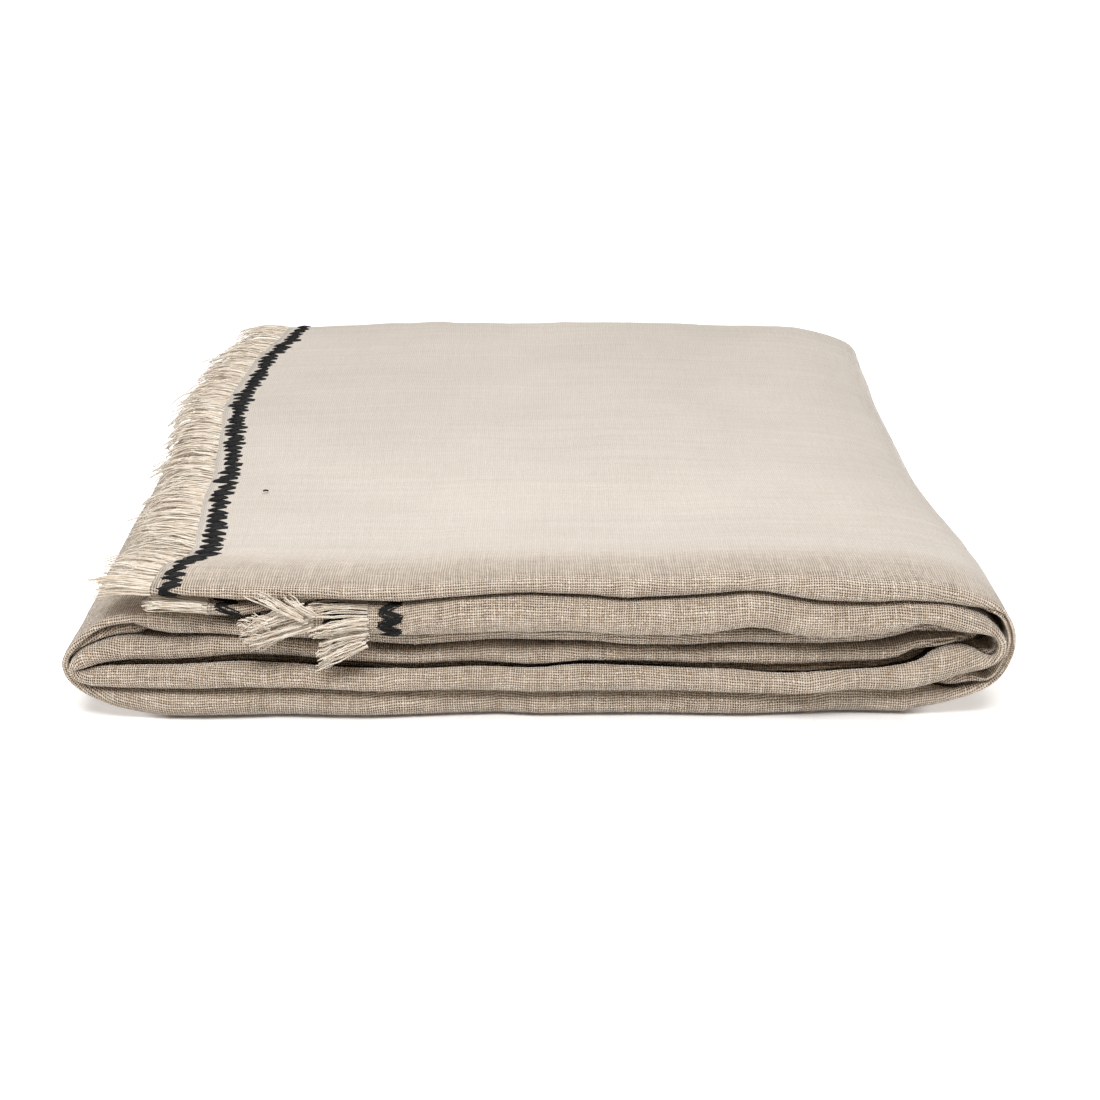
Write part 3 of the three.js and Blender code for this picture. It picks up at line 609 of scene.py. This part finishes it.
# Fringe: yarns loosened from the woven edge and gathered in tufts, closer together on the noses. Each
# guide row gives a place along the section, how far the tips there lie from their roots in x, y and z,
# and how freely the tufts stray
YARN = dict(pitch=1.0, nose_pitch=0.72, radius=0.36, points=9, inset=0.4, count_step=0.1,
            root_stray=(0.2, 0.15, 0.3), out=0.38, tip_out=0.25, tip_back=0.3)
CROWDED = dict(place=[0.7, 1, 2, 2.1, 5.9, 6, 7, 7.3], share=[0, 1, 1, 0, 0, 1, 1, 0])
TUFT_YARNS = (5, 12)
TUFT_ARCH = (0.6, 1.3)
TOP_GUIDES = [
    (0, -26, 0, -1.5, 0.3), (0.9, -26, 0, -1.5, 0.3), (1, -26.3, -0.5, -2.6, 0.45), (1.5, -27, 1, -0.6, 0.5),
    (2, -27, 3.5, 0.4, 0.6), (2.1, -28.5, 6, 0.6, 0.7), (2.2, -30, 8, -0.6, 0.8), (2.32, -31, 5, -3.5, 0.9),
    (2.5, -30.5, 4, -5.5, 1), (2.7, -30, 3, -5, 1), (2.95, -29.5, 0, -1.5, 0.8), (4, -29, 0, -1, 0.5),
    (5, -28, 0, -1, 0.4), (5.9, -28.5, 2, -0.5, 0.3), (6, -28.8, 3.5, 2, 0.25), (6.5, -29, 4, 2.6, 0.25),
    (7, -28.6, 4, 3.6, 0.25), (8, -28, 0, 0, 0.3),
]
UNDER_GUIDES = [
    (0, -26, 0, 0, 0.3), (0.85, -27, -3, -4, 0.4), (1, -28.4, -5, -5.4, 0.7), (1.5, -29.4, -5.5, -6.4, 0.8),
    (2, -26.5, -6, -8.2, 0.8), (2.03, -27, -4, -3.5, 0.5), (2.08, -28, 0, -0.5, 0.3), (3, -28, 0, -0.5, 0.3),
    (5, -28, 0, -0.5, 0.3), (5.92, -27.5, -1, 0, 0.4), (6, -27.6, -3, 0.8, 0.7), (6.25, -27.6, -3.5, 1.6, 0.8),
    (6.5, -23.2, -3, -0.8, 0.6), (6.7, -22.8, -4, -4.2, 0.5), (6.85, -22.2, -5.5, -9, 0.5),
    (7, -19.6, -6.5, -13, 0.5), (7.1, -20, -3, -5, 0.4), (7.3, -24, 0, -1, 0.3), (8, -26, 0, 0, 0.3),
]
# Loose tufts that lie over the others: x, depth from the CAD cloth's front, and height of root and tip,
# yarns, width at the root and at the tips
LOOSE_TUFTS = [
    ((-101.5, -3.5, 54.5), (-118.6, -4.5, 66), 15, 3, 4.6),
    ((-96.5, -3.8, 56.5), (-108.4, -4.8, 62), 12, 3.5, 3.2),
    ((-113, -3.5, 52.5), (-124.5, -3.8, 57), 11, 2.4, 2.6),
    ((-116, -3.8, 50.5), (-129.5, -3.6, 52.5), 12, 2.4, 3.2),
    ((-100, -1, 54), (-127, -2.6, 47.5), 34, 12, 15),
    ((-99, -0.6, 51), (-124, -2, 44), 18, 8, 8),
    ((-75, -1.2, 42.5), (-96, -2.4, 37), 26, 6, 16),
    ((-75, -1, 49), (-97, -3, 48), 20, 9, 9),
    ((-147, 4.5, 55.5), (-171.5, -1.5, 61), 22, 3.6, 3),
]
LOOSE_SHAPE, LOOSE_FREE = np.array([0.5, 0.35, 1]), 0.9
# How a tuft and its yarns stray: ranges of the draws, ways as x, y and z, and heights in millimetres
TUFT = dict(
    gather=(0.25, 0.6), stray=np.array([0.8, 1.5, 1.1]), long=(0.93, 1.03), turn=1.2,
    own=np.array([1.0, 0.6, 0.6]), own_least=0.7, reach=(0.9, 1.03), torn=0.07, torn_reach=(0.6, 0.9),
    waves=(1.2, 3.4), wave_way=np.array([0.3, 1, 1]), wave_calm=0.15, wave_free=0.45, wave_root=0.25,
    wave_share=0.7, swirl=0.45, arch_sag=0.6, thick=(0.72, 1.15), taper=0.4, circle=6.3,
)


def yarn_path(root, out, tip, t):
    """From a root, out past the woven edge and round to a tip."""
    span = np.linalg.norm(tip - root)
    near = root + out * span * YARN["out"]
    far = tip - (tip - root - out * span * YARN["tip_out"]) * YARN["tip_back"]
    a, b = (1 - t)[:, None], t[:, None]
    return a ** 3 * root + 3 * a * a * b * near + 3 * a * b * b * far + b ** 3 * tip


def tuft(random, roots, outs, tips, free, arch=0.0):
    """Yarns of one tuft: their tips draw together, each with its own bends and length."""
    t = np.linspace(0, 1, YARN["points"])
    down, bow = t[:, None], np.sin(t[:, None] * math.pi)
    gather = random.uniform(*TUFT["gather"])
    stray = random.normal(0, 1, 3) * TUFT["stray"] * free * MM
    long = random.uniform(*TUFT["long"])
    swirl, turn = random.uniform(0, TUFT["circle"]), random.normal(0, TUFT["turn"])
    middle = tips.mean(axis=0)
    arched = arch * (bow - TUFT["arch_sag"] * down ** 2) * np.array([0, 0, 1])
    paths = []
    for k, (root, out, tip) in enumerate(zip(roots, outs, tips)):
        own = random.normal(0, 1, 3) * TUFT["own"] * (TUFT["own_least"] + free) * MM
        tip = mix(tip, middle, gather) + stray + own
        reach = long * random.uniform(*TUFT["reach"])
        reach *= 1 if random.random() > TUFT["torn"] else random.uniform(*TUFT["torn_reach"])
        path = yarn_path(root, out, root + (tip - root) * reach, t)
        phase, pitch = random.uniform(0, TUFT["circle"], 3), random.uniform(*TUFT["waves"], 3)
        rise = TUFT["wave_calm"] + TUFT["wave_free"] * free
        bends = np.sin(down * pitch * TUFT["circle"] + phase) * rise * (TUFT["wave_root"] + down) * TUFT["wave_share"]
        around = TUFT["swirl"] * bow * np.array([0, math.cos(swirl + k + turn), math.sin(swirl + k)])
        path = path + (bends * TUFT["wave_way"] + around + arched) * MM
        radius = YARN["radius"] * random.uniform(*TUFT["thick"]) * MM
        paths.append((path, radius * (1 - TUFT["taper"] * t ** 4)))
    return paths


def fringe(name, end, guides, seed, arch, loose=()):
    """Yarns along a woven edge, in tufts that follow the guides."""
    random = np.random.default_rng(seed)
    guide = np.asarray(guides)
    steps = np.arange(0, end.width, YARN["count_step"] * MM)
    crowding = np.interp(end.place(steps), CROWDED["place"], CROWDED["share"])
    yarns = np.cumsum(YARN["count_step"] / mix(YARN["pitch"], YARN["nose_pitch"], crowding))
    across = np.interp(np.arange(0.5, yarns[-1]), yarns, steps)
    count = len(across)
    root, out, _, _ = end.frame(across, np.full(count, YARN["inset"] * MM))
    place = end.place(across)
    lean = np.stack([np.interp(place, guide[:, 0], guide[:, k]) for k in (1, 2, 3)], axis=1) * MM
    free = np.interp(place, guide[:, 0], guide[:, 4])
    root = root + np.stack([random.normal(0, spread, count) for spread in YARN["root_stray"]], axis=1) * MM
    paths = []
    k = 0
    while k < count:
        many = range(k, min(k + int(random.integers(*TUFT_YARNS)), count))
        raised = arch * random.uniform(*TUFT_ARCH) * free[k]
        paths += tuft(random, root[many], out[many], root[many] + lean[many], free[k], raised)
        k = many.stop
    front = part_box("cloth")[0].y
    for start, stop, yarns, root_width, tip_width in loose:
        start, stop = (np.array([x, front / MM + depth, z]) for x, depth, z in (start, stop))
        spread = random.uniform(-0.5, 0.5, (yarns, 3)) * LOOSE_SHAPE
        roots, tips = (start + spread * root_width) * MM, (stop + spread * tip_width) * MM
        paths += tuft(random, roots, unit(tips - roots), tips, LOOSE_FREE)
    return strands(name, paths)


# Short fibres that stand off the folds: how many, the share of them on the noses, and how their way
# strays. Lengths in millimetres
FUZZ = dict(count=2200, nose_share=0.75, sideways=0.6, up=0.7, stray=0.35, length=(0.8, 3.4), short=0.4,
            radius=0.045, points=4, bend=0.35, kink=0.12, off=0.3, taper=0.5, least_height=0.1)
# A point inside the stack, from which the fibres turn away: metres behind them, and height
INSIDE = dict(back=0.02, height=0.035)
# Single loose fibres at the foot of the front: x, height, turn in degrees, length
STRAY_FIBRES = [(105, 6.5, 70, 5.5), (123, 7, 110, 5), (153, 8, 60, 6), (165, 9.5, 120, 5),
                (-35, 3, 30, 5), (60, 44, 20, 4)]
STRAY_BACK, STRAY_FORWARD = 1.5, -0.35


def fibre(random, root, way, long):
    """A short fibre with a soft bend, kept above the ground."""
    t = np.linspace(0, 1, FUZZ["points"])[:, None]
    bend = np.cross(way, random.normal(0, 1, 3))
    kink = random.normal(0, FUZZ["kink"], 3)
    path = root + (way * t + bend * FUZZ["bend"] * t * t + kink * t ** 3) * long * MM
    path[:, 2] = np.maximum(path[:, 2], FUZZ["least_height"] * MM)
    return path, FUZZ["radius"] * MM * (1 - FUZZ["taper"] * t[:, 0])


def fuzz(name, seed):
    """Fibres on the noses at the front and on the plies, and a few loose ones."""
    random = np.random.default_rng(seed)
    low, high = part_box("cloth")
    noses = np.concatenate([np.arange(PART_STARTS[k], PART_STARTS[k + 1]) for k in (1, 6)])
    paths = []
    for _ in range(FUZZ["count"]):
        i = random.integers(2, len(GRID) - 2)
        if random.random() < FUZZ["nose_share"]:
            j = random.choice(noses)
            way = np.array([random.normal(0, FUZZ["sideways"]), -1, random.normal(0, FUZZ["up"])])
        else:
            j = random.integers(PART_STARTS[2], PART_STARTS[6])
            way = np.zeros(3)
        beside = GRID[i + 1, j] - GRID[i - 1, j]
        onward = GRID[i, min(j + 1, GRID.shape[1] - 1)] - GRID[i, j - 1]
        normal = np.cross(beside, onward)
        normal /= np.linalg.norm(normal)
        inside = np.array([(low.x + high.x) / 2, GRID[i, j, 1] + INSIDE["back"], INSIDE["height"]])
        normal *= np.sign(np.dot(normal, GRID[i, j] - inside))
        way = way + normal + random.normal(0, FUZZ["stray"], 3)
        way /= np.linalg.norm(way)
        long = random.uniform(*FUZZ["length"]) * random.uniform(FUZZ["short"], 1)
        paths.append(fibre(random, GRID[i, j] + normal * FUZZ["off"] * MM, way, long))
    for x, height, degrees, long in STRAY_FIBRES:
        turn = math.radians(degrees)
        root = np.array([x * MM, low.y + STRAY_BACK * MM, height * MM])
        way = np.array([math.cos(turn), STRAY_FORWARD, -math.sin(turn)])
        paths.append(fibre(random, root, way, long))
    return strands(name, paths)


# Finishes

class Nodes:
    """Short calls that add nodes to a material's tree."""

    def __init__(self, name):
        self.material = bpy.data.materials.new(name)
        self.material.use_nodes = True
        self.tree = self.material.node_tree
        self.tree.nodes.clear()
        self.out = self.add("ShaderNodeOutputMaterial")
        self.shader = self.add("ShaderNodeBsdfPrincipled")
        self.link(self.shader.outputs[0], self.out.inputs[0])

    def add(self, kind, **settings):
        node = self.tree.nodes.new(kind)
        for key, value in settings.items():
            setattr(node, key, value)
        return node

    def link(self, source, target):
        self.tree.links.new(source, target)

    def put(self, socket, value):
        if isinstance(value, bpy.types.NodeSocket):
            self.link(value, socket)
        else:
            socket.default_value = value

    def surface(self, values):
        for name, value in values.items():
            self.put(self.shader.inputs[name], value)

    def fed(self, node, *values):
        for socket, value in zip(node.inputs, values):
            self.put(socket, value)
        return node.outputs[0]

    def math(self, operation, a, b=0.0, c=0.0):
        return self.fed(self.add("ShaderNodeMath", operation=operation), a, b, c)

    def plus(self, a, b):
        return self.math("ADD", a, b)

    def minus(self, a, b):
        return self.math("SUBTRACT", a, b)

    def times(self, a, b):
        return self.math("MULTIPLY", a, b)

    def between(self, value, low, high, to_low=0.0, to_high=1.0):
        return self.fed(self.add("ShaderNodeMapRange", clamp=True), value, low, high, to_low, to_high)

    def split(self, vector):
        node = self.add("ShaderNodeSeparateXYZ")
        self.link(vector, node.inputs[0])
        return node.outputs

    def vector(self, x, y, z=0.0):
        return self.fed(self.add("ShaderNodeCombineXYZ"), x, y, z)

    def noise(self, vector, scale, detail=2.0):
        node = self.add("ShaderNodeTexNoise")
        self.put(node.inputs["Vector"], vector)
        node.inputs["Scale"].default_value = scale
        node.inputs["Detail"].default_value = detail
        return node.outputs[0]

    def chance(self, value, shift):
        node = self.add("ShaderNodeTexWhiteNoise", noise_dimensions="1D")
        self.put(node.inputs["W"], self.plus(value, shift))
        return node.outputs[0]

    def blend(self, share, a, b):
        node = self.add("ShaderNodeMix", data_type="RGBA")
        self.put(node.inputs["Factor"], share)
        self.put(node.inputs["A"], a)
        self.put(node.inputs["B"], b)
        return node.outputs["Result"]

    def shade(self, colour, share):
        """A colour times a grey value."""
        node = self.add("ShaderNodeMix", data_type="RGBA", blend_type="MULTIPLY")
        node.inputs["Factor"].default_value = 1
        self.put(node.inputs["A"], colour)
        grey = self.add("ShaderNodeCombineColor")
        for socket in grey.inputs:
            self.put(socket, share)
        self.link(grey.outputs[0], node.inputs["B"])
        return node.outputs["Result"]

    def bump(self, height, distance, strength):
        node = self.add("ShaderNodeBump")
        self.put(node.inputs["Height"], height)
        node.inputs["Distance"].default_value = distance
        node.inputs["Strength"].default_value = strength
        self.link(node.outputs[0], self.shader.inputs["Normal"])


# Distance between neighbouring yarns along the strip and across it
WARP_PITCH, WEFT_PITCH = 1.04 * MM, 1.2 * MM
# Linen colours: warm and pale are mixed by yarn height into painted shade on the yarns' low sides and a painted
# highlight on their crowns, with the yarns' own slub tone; the gap colour is painted shade between the yarns; the
# panel colours are the top's painted sheen
LINEN = dict(pale=(0.86, 0.755, 0.635, 1), warm=(0.33, 0.2, 0.095, 1), brown=(0.36, 0.21, 0.10, 1),
             slub=(0.92, 0.87, 0.79, 1), painted_gap_shade=(0.05, 0.024, 0.009, 1),
             painted_sheen_panel=((0.565, 0.528, 0.484, 1), (0.605, 0.570, 0.530, 1)))
# Where the top panel is painted paler and flatter, a painted sheen and the even look of light from straight above, in
# metres of the cut, each from none to all of it, and what that leaves
# of the weave: how much of the panel's paler colour, and how far it hides the specks and the painted gap shade
PAINTED_TOP_LIGHT = dict(along=(0.415, 0.345), back=(-0.394, -0.35), front=(0.011, 0.0), colour=0.78, specks=0.6, gaps=0.95)
# How far a yarn rises where it goes over another, and the height of a gap's floor
YARN_RISE, GAP_FLOOR = 0.55, -1.2


def linen_finish():
    """Plain weave of uneven linen yarn, drawn in the cloth's cut coordinates."""
    n = Nodes("natural linen weave")
    cut = n.add("ShaderNodeUVMap", uv_map="cut").outputs[0]
    along, across, _ = n.split(cut)
    drift = n.plus(n.times(n.noise(cut, 28), 2.6), n.times(n.noise(cut, 160), 0.6))
    a = n.plus(n.math("DIVIDE", along, WARP_PITCH), drift)
    b = n.minus(n.math("DIVIDE", across, WEFT_PITCH), drift)
    warp, weft = n.math("FLOOR", a), n.math("FLOOR", b)
    off_a, off_b = (n.minus(n.math("FRACT", run), 0.5) for run in (a, b))

    def unevenness(yarn, run, apart, speed, level, detail):
        """A slow change along each single yarn."""
        return n.noise(n.vector(n.times(yarn, apart), n.times(run, speed), level), 1, detail)

    def crown(offset, chance, slub):
        """Height across a yarn, which is thicker where its chance and its slub are high."""
        thick = n.plus(n.math("MULTIPLY_ADD", chance, 0.30, 0.38), n.times(slub, 0.5))
        share = n.math("DIVIDE", n.times(offset, 2.0), thick)
        return n.math("MAXIMUM", n.minus(1.0, n.times(share, share)), GAP_FLOOR)

    warp_chance, weft_chance = n.chance(warp, 0.37), n.chance(weft, 911.3)
    warp_slub = unevenness(warp, b, 7.31, 0.07, 0.0, 3)
    weft_slub = unevenness(weft, a, 5.77, 0.07, 40.0, 3)
    over = n.math("SINE", n.times(n.plus(b, warp), math.pi))
    under = n.times(n.math("SINE", n.times(n.plus(a, weft), math.pi)), -1.0)
    warp_high = n.math("MULTIPLY_ADD", over, YARN_RISE, crown(off_a, warp_chance, warp_slub))
    weft_high = n.math("MULTIPLY_ADD", under, YARN_RISE, crown(off_b, weft_chance, weft_slub))
    height = n.math("MAXIMUM", warp_high, weft_high)
    warp_shows = n.math("GREATER_THAN", warp_high, weft_high)

    def shown(of_warp, of_weft):
        return n.plus(n.times(warp_shows, of_warp), n.times(n.minus(1.0, warp_shows), of_weft))

    chance, slub = shown(warp_chance, weft_chance), shown(warp_slub, weft_slub)
    # Yarn crowns are painted paler as a painted highlight and their lower sides browner as painted shade; the slub
    # share is the yarns' own tone
    tone = n.plus(n.between(height, 0.1, 1.35, 0.0, 0.64), n.between(slub, 0.3, 0.7, 0.0, 0.36))
    colour = n.blend(tone, LINEN["warm"], LINEN["pale"])
    # The panel that lies on top is painted paler and smoother than the folds at the front: painted sheen and the flat
    # look of light from above, with its specks and gap shade faded
    painted_top_light = n.times(n.between(along, *PAINTED_TOP_LIGHT["along"]),
                      n.times(n.between(across, *PAINTED_TOP_LIGHT["back"]), n.between(across, *PAINTED_TOP_LIGHT["front"])))
    bold = n.minus(1.0, n.times(painted_top_light, PAINTED_TOP_LIGHT["specks"]))
    # Brown fibres and pale slubs come in short stretches of single threads
    stretch = shown(unevenness(warp, b, 3.17, 0.16, 9.0, 2), unevenness(weft, a, 4.43, 0.16, 70.0, 2))
    specks = n.between(n.math("MULTIPLY_ADD", chance, 0.12, stretch), 0.60, 0.76, 0.0, 0.6)
    colour = n.blend(n.times(specks, bold), colour, LINEN["brown"])
    colour = n.blend(n.times(n.between(stretch, 0.40, 0.28, 0.0, 0.6), bold), colour, LINEN["slub"])
    streak = n.noise(n.vector(n.times(along, 8.0), n.times(across, 240.0)), 1, 3)
    painted_sheen_panel = n.blend(n.between(streak, 0.35, 0.65), *LINEN["painted_sheen_panel"])
    colour = n.blend(n.times(painted_top_light, PAINTED_TOP_LIGHT["colour"]), colour, painted_sheen_panel)
    relief_and_gap_shade = n.minus(1.0, n.times(painted_top_light, PAINTED_TOP_LIGHT["gaps"]))
    # Painted shade in the gaps between the yarns, faded out on the top panel
    colour = n.blend(n.times(n.between(height, -0.05, 0.8, 1.0, 0.0), relief_and_gap_shade), colour, LINEN["painted_gap_shade"])
    cloudy, grain = n.noise(cut, 9, 3), n.noise(cut, 900)
    colour = n.shade(colour, n.plus(n.between(cloudy, 0.3, 0.7, 0.96, 1.04), n.between(grain, 0.3, 0.7, -0.08, 0.08)))
    n.surface({"Base Color": colour, "Roughness": 0.9, "Specular IOR Level": 0.2,
               "Sheen Weight": n.times(n.between(height, 0.5, 1.3), 0.75), "Sheen Roughness": 0.4})
    n.bump(n.times(height, relief_and_gap_shade), 0.5 * MM, 1.0)
    return n.material


def yarn_finish():
    """Loose, slightly paler yarn."""
    n = Nodes("loose linen yarn")
    place = n.add("ShaderNodeTexCoord").outputs["Object"]
    blotch, fine = n.noise(place, 220, 3), n.noise(place, 1900)
    colour = n.blend(n.between(blotch, 0.32, 0.68), (0.68, 0.575, 0.455, 1), (0.88, 0.81, 0.71, 1))
    n.surface({"Base Color": n.shade(colour, n.between(fine, 0.25, 0.75, 0.82, 1.08)), "Roughness": 0.85,
               "Specular IOR Level": 0.25, "Sheen Weight": 0.3, "Sheen Roughness": 0.5})
    n.bump(fine, 0.1 * MM, 0.6)
    return n.material


def thread_finish():
    """Charcoal sewing thread."""
    n = Nodes("charcoal thread")
    fine = n.noise(n.add("ShaderNodeTexCoord").outputs["Object"], 2300)
    colour = n.blend(n.between(fine, 0.3, 0.7), (0.002, 0.002, 0.0022, 1), (0.013, 0.0125, 0.013, 1))
    n.surface({"Base Color": colour, "Roughness": 0.5, "Specular IOR Level": 0.22})
    n.bump(fine, 0.12 * MM, 0.8)
    return n.material


# How far the cloth rests on the ground from its middle, in metres, and how the ground's painted glow grows with
# the distance from there: distances, then glow, close by and further off. Close by the glow falls almost to nothing,
# which paints a contact shadow round the cloth's foot
FOOT = dict(x=0.166, y=0.1895)
CONTACT_SHADOW_GLOW, GLOW_FAR = (-0.001, 0.012, 0.03, 0.42), (0.25, 1.4, 0.0, 0.6)


def white_finish():
    """White studio floor with a painted glow, more so away from the cloth, which dims close to it as a painted
    contact shadow.
    """
    n = Nodes("white ground")
    place = n.add("ShaderNodeTexCoord").outputs["Object"]
    x, y, _ = n.split(place)
    beside, before = (n.minus(n.math("ABSOLUTE", way), reach) for way, reach in ((x, FOOT["x"]), (y, FOOT["y"])))
    away = n.math("MAXIMUM", beside, before)
    # The emission is painted light that also lights the cloth from below; its dip close to the cloth paints the
    # contact shadow
    n.surface({"Base Color": n.blend(n.noise(place, 3), (0.9, 0.9, 0.9, 1), (0.92, 0.92, 0.92, 1)), "Roughness": 0.9,
               "Emission Color": (1, 1, 1, 1),
               "Emission Strength": n.plus(n.between(away, *CONTACT_SHADOW_GLOW), n.between(away, *GLOW_FAR))})
    return n.material


# The photograph's view: distances from the front plane of the stack and the ground in millimetres, tilt
# in degrees, and focal length and picture's width in pixels
VIEW = dict(x=5.7, back=702.6, height=399.4, down=24.07, focal=1800.0, picture=1100.0)
SENSOR = 36


def make_camera():
    camera = add_object("camera", bpy.data.cameras.new("camera"))
    low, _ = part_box("cloth")
    camera.location = (VIEW["x"] * MM, low.y - VIEW["back"] * MM, VIEW["height"] * MM)
    camera.rotation_euler = (math.radians(90 - VIEW["down"]), 0, 0)
    camera.data.sensor_width = SENSOR
    camera.data.lens = VIEW["focal"] / VIEW["picture"] * SENSOR
    camera.data.clip_start, camera.data.clip_end = 0.01, 50
    bpy.context.scene.camera = camera


# Lights: name, place, aim, width and depth in metres, and power in watts
LIGHTS = [
    ("soft overhead", (0.1, 0.35, 1.35), (0, 0, 0), (1.3, 1.0), 11),
    ("soft front", (-0.1, -0.78, 1.28), (0, -0.15, 0.03), (1.1, 0.5), 21),
]
# The room's light on the cloth is warm and dim, while the room itself is seen as plain white
ROOM_WARMTH, ROOM_LIGHT = (1, 0.8, 0.6, 1), 0.08
GROUND_REACH = 6


def area_light(name, place, aim, size, power):
    light = add_object(name, bpy.data.lights.new(name, "AREA"))
    light.location = place
    light.rotation_euler = (Vector(aim) - Vector(place)).to_track_quat("-Z", "Y").to_euler()
    light.data.shape = "RECTANGLE"
    light.data.size, light.data.size_y = size
    light.data.energy = power


def make_room():
    world = bpy.data.worlds.new("white room")
    bpy.context.scene.world = world
    world.use_nodes = True
    tree = world.node_tree
    room = tree.nodes["Background"]
    seen = tree.nodes.new("ShaderNodeLightPath").outputs["Is Camera Ray"]
    warmth = tree.nodes.new("ShaderNodeMix")
    warmth.data_type = "RGBA"
    warmth.inputs["A"].default_value = ROOM_WARMTH
    warmth.inputs["B"].default_value = (1, 1, 1, 1)
    tree.links.new(seen, warmth.inputs["Factor"])
    tree.links.new(warmth.outputs["Result"], room.inputs[0])
    strength = tree.nodes.new("ShaderNodeMapRange")
    strength.inputs["To Min"].default_value = ROOM_LIGHT
    tree.links.new(seen, strength.inputs["Value"])
    tree.links.new(strength.outputs[0], room.inputs[1])


def make_studio():
    ground = add_object("ground", grid_mesh("ground", 8, 8, GROUND_REACH))
    ground.data.materials.append(white_finish())
    make_room()
    for row in LIGHTS:
        area_light(*row)
    bpy.context.scene.view_settings.view_transform = "Standard"
    bpy.context.scene.view_settings.look = "None"


make_camera()
make_studio()

linen, yarn, thread = linen_finish(), yarn_finish(), thread_finish()
cloth = make_cloth()
cloth.data.materials.append(linen)
pieces = {
    "fringe_top_yarns": fringe("fringe_top_yarns", TOP_END, TOP_GUIDES, seed=11, arch=3.2),
    "fringe_under_yarns": fringe("fringe_under_yarns", UNDER_END, UNDER_GUIDES, seed=12, arch=0.8, loose=LOOSE_TUFTS),
    "stitching_top": zigzag("stitching_top", TOP_END, seed=13, threads=6, inset=4.1, width=8.8, half_period=3.0,
                            loose=[(SNIPPET * MM, np.full(len(SNIPPET), SNIPPET_RADIUS * MM))]),
    "stitching_under": zigzag("stitching_under", UNDER_END, seed=14, threads=7, inset=4.8, width=10.2,
                              half_period=3.3),
    "loose_fibres": fuzz("loose_fibres", seed=15),
}
for name, piece in pieces.items():
    piece.data.materials.append(thread if "stitching" in name else yarn)
    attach(piece, "root")
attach(cloth, "root")
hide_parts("cloth")
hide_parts("fringe_top")
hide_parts("fringe_under")
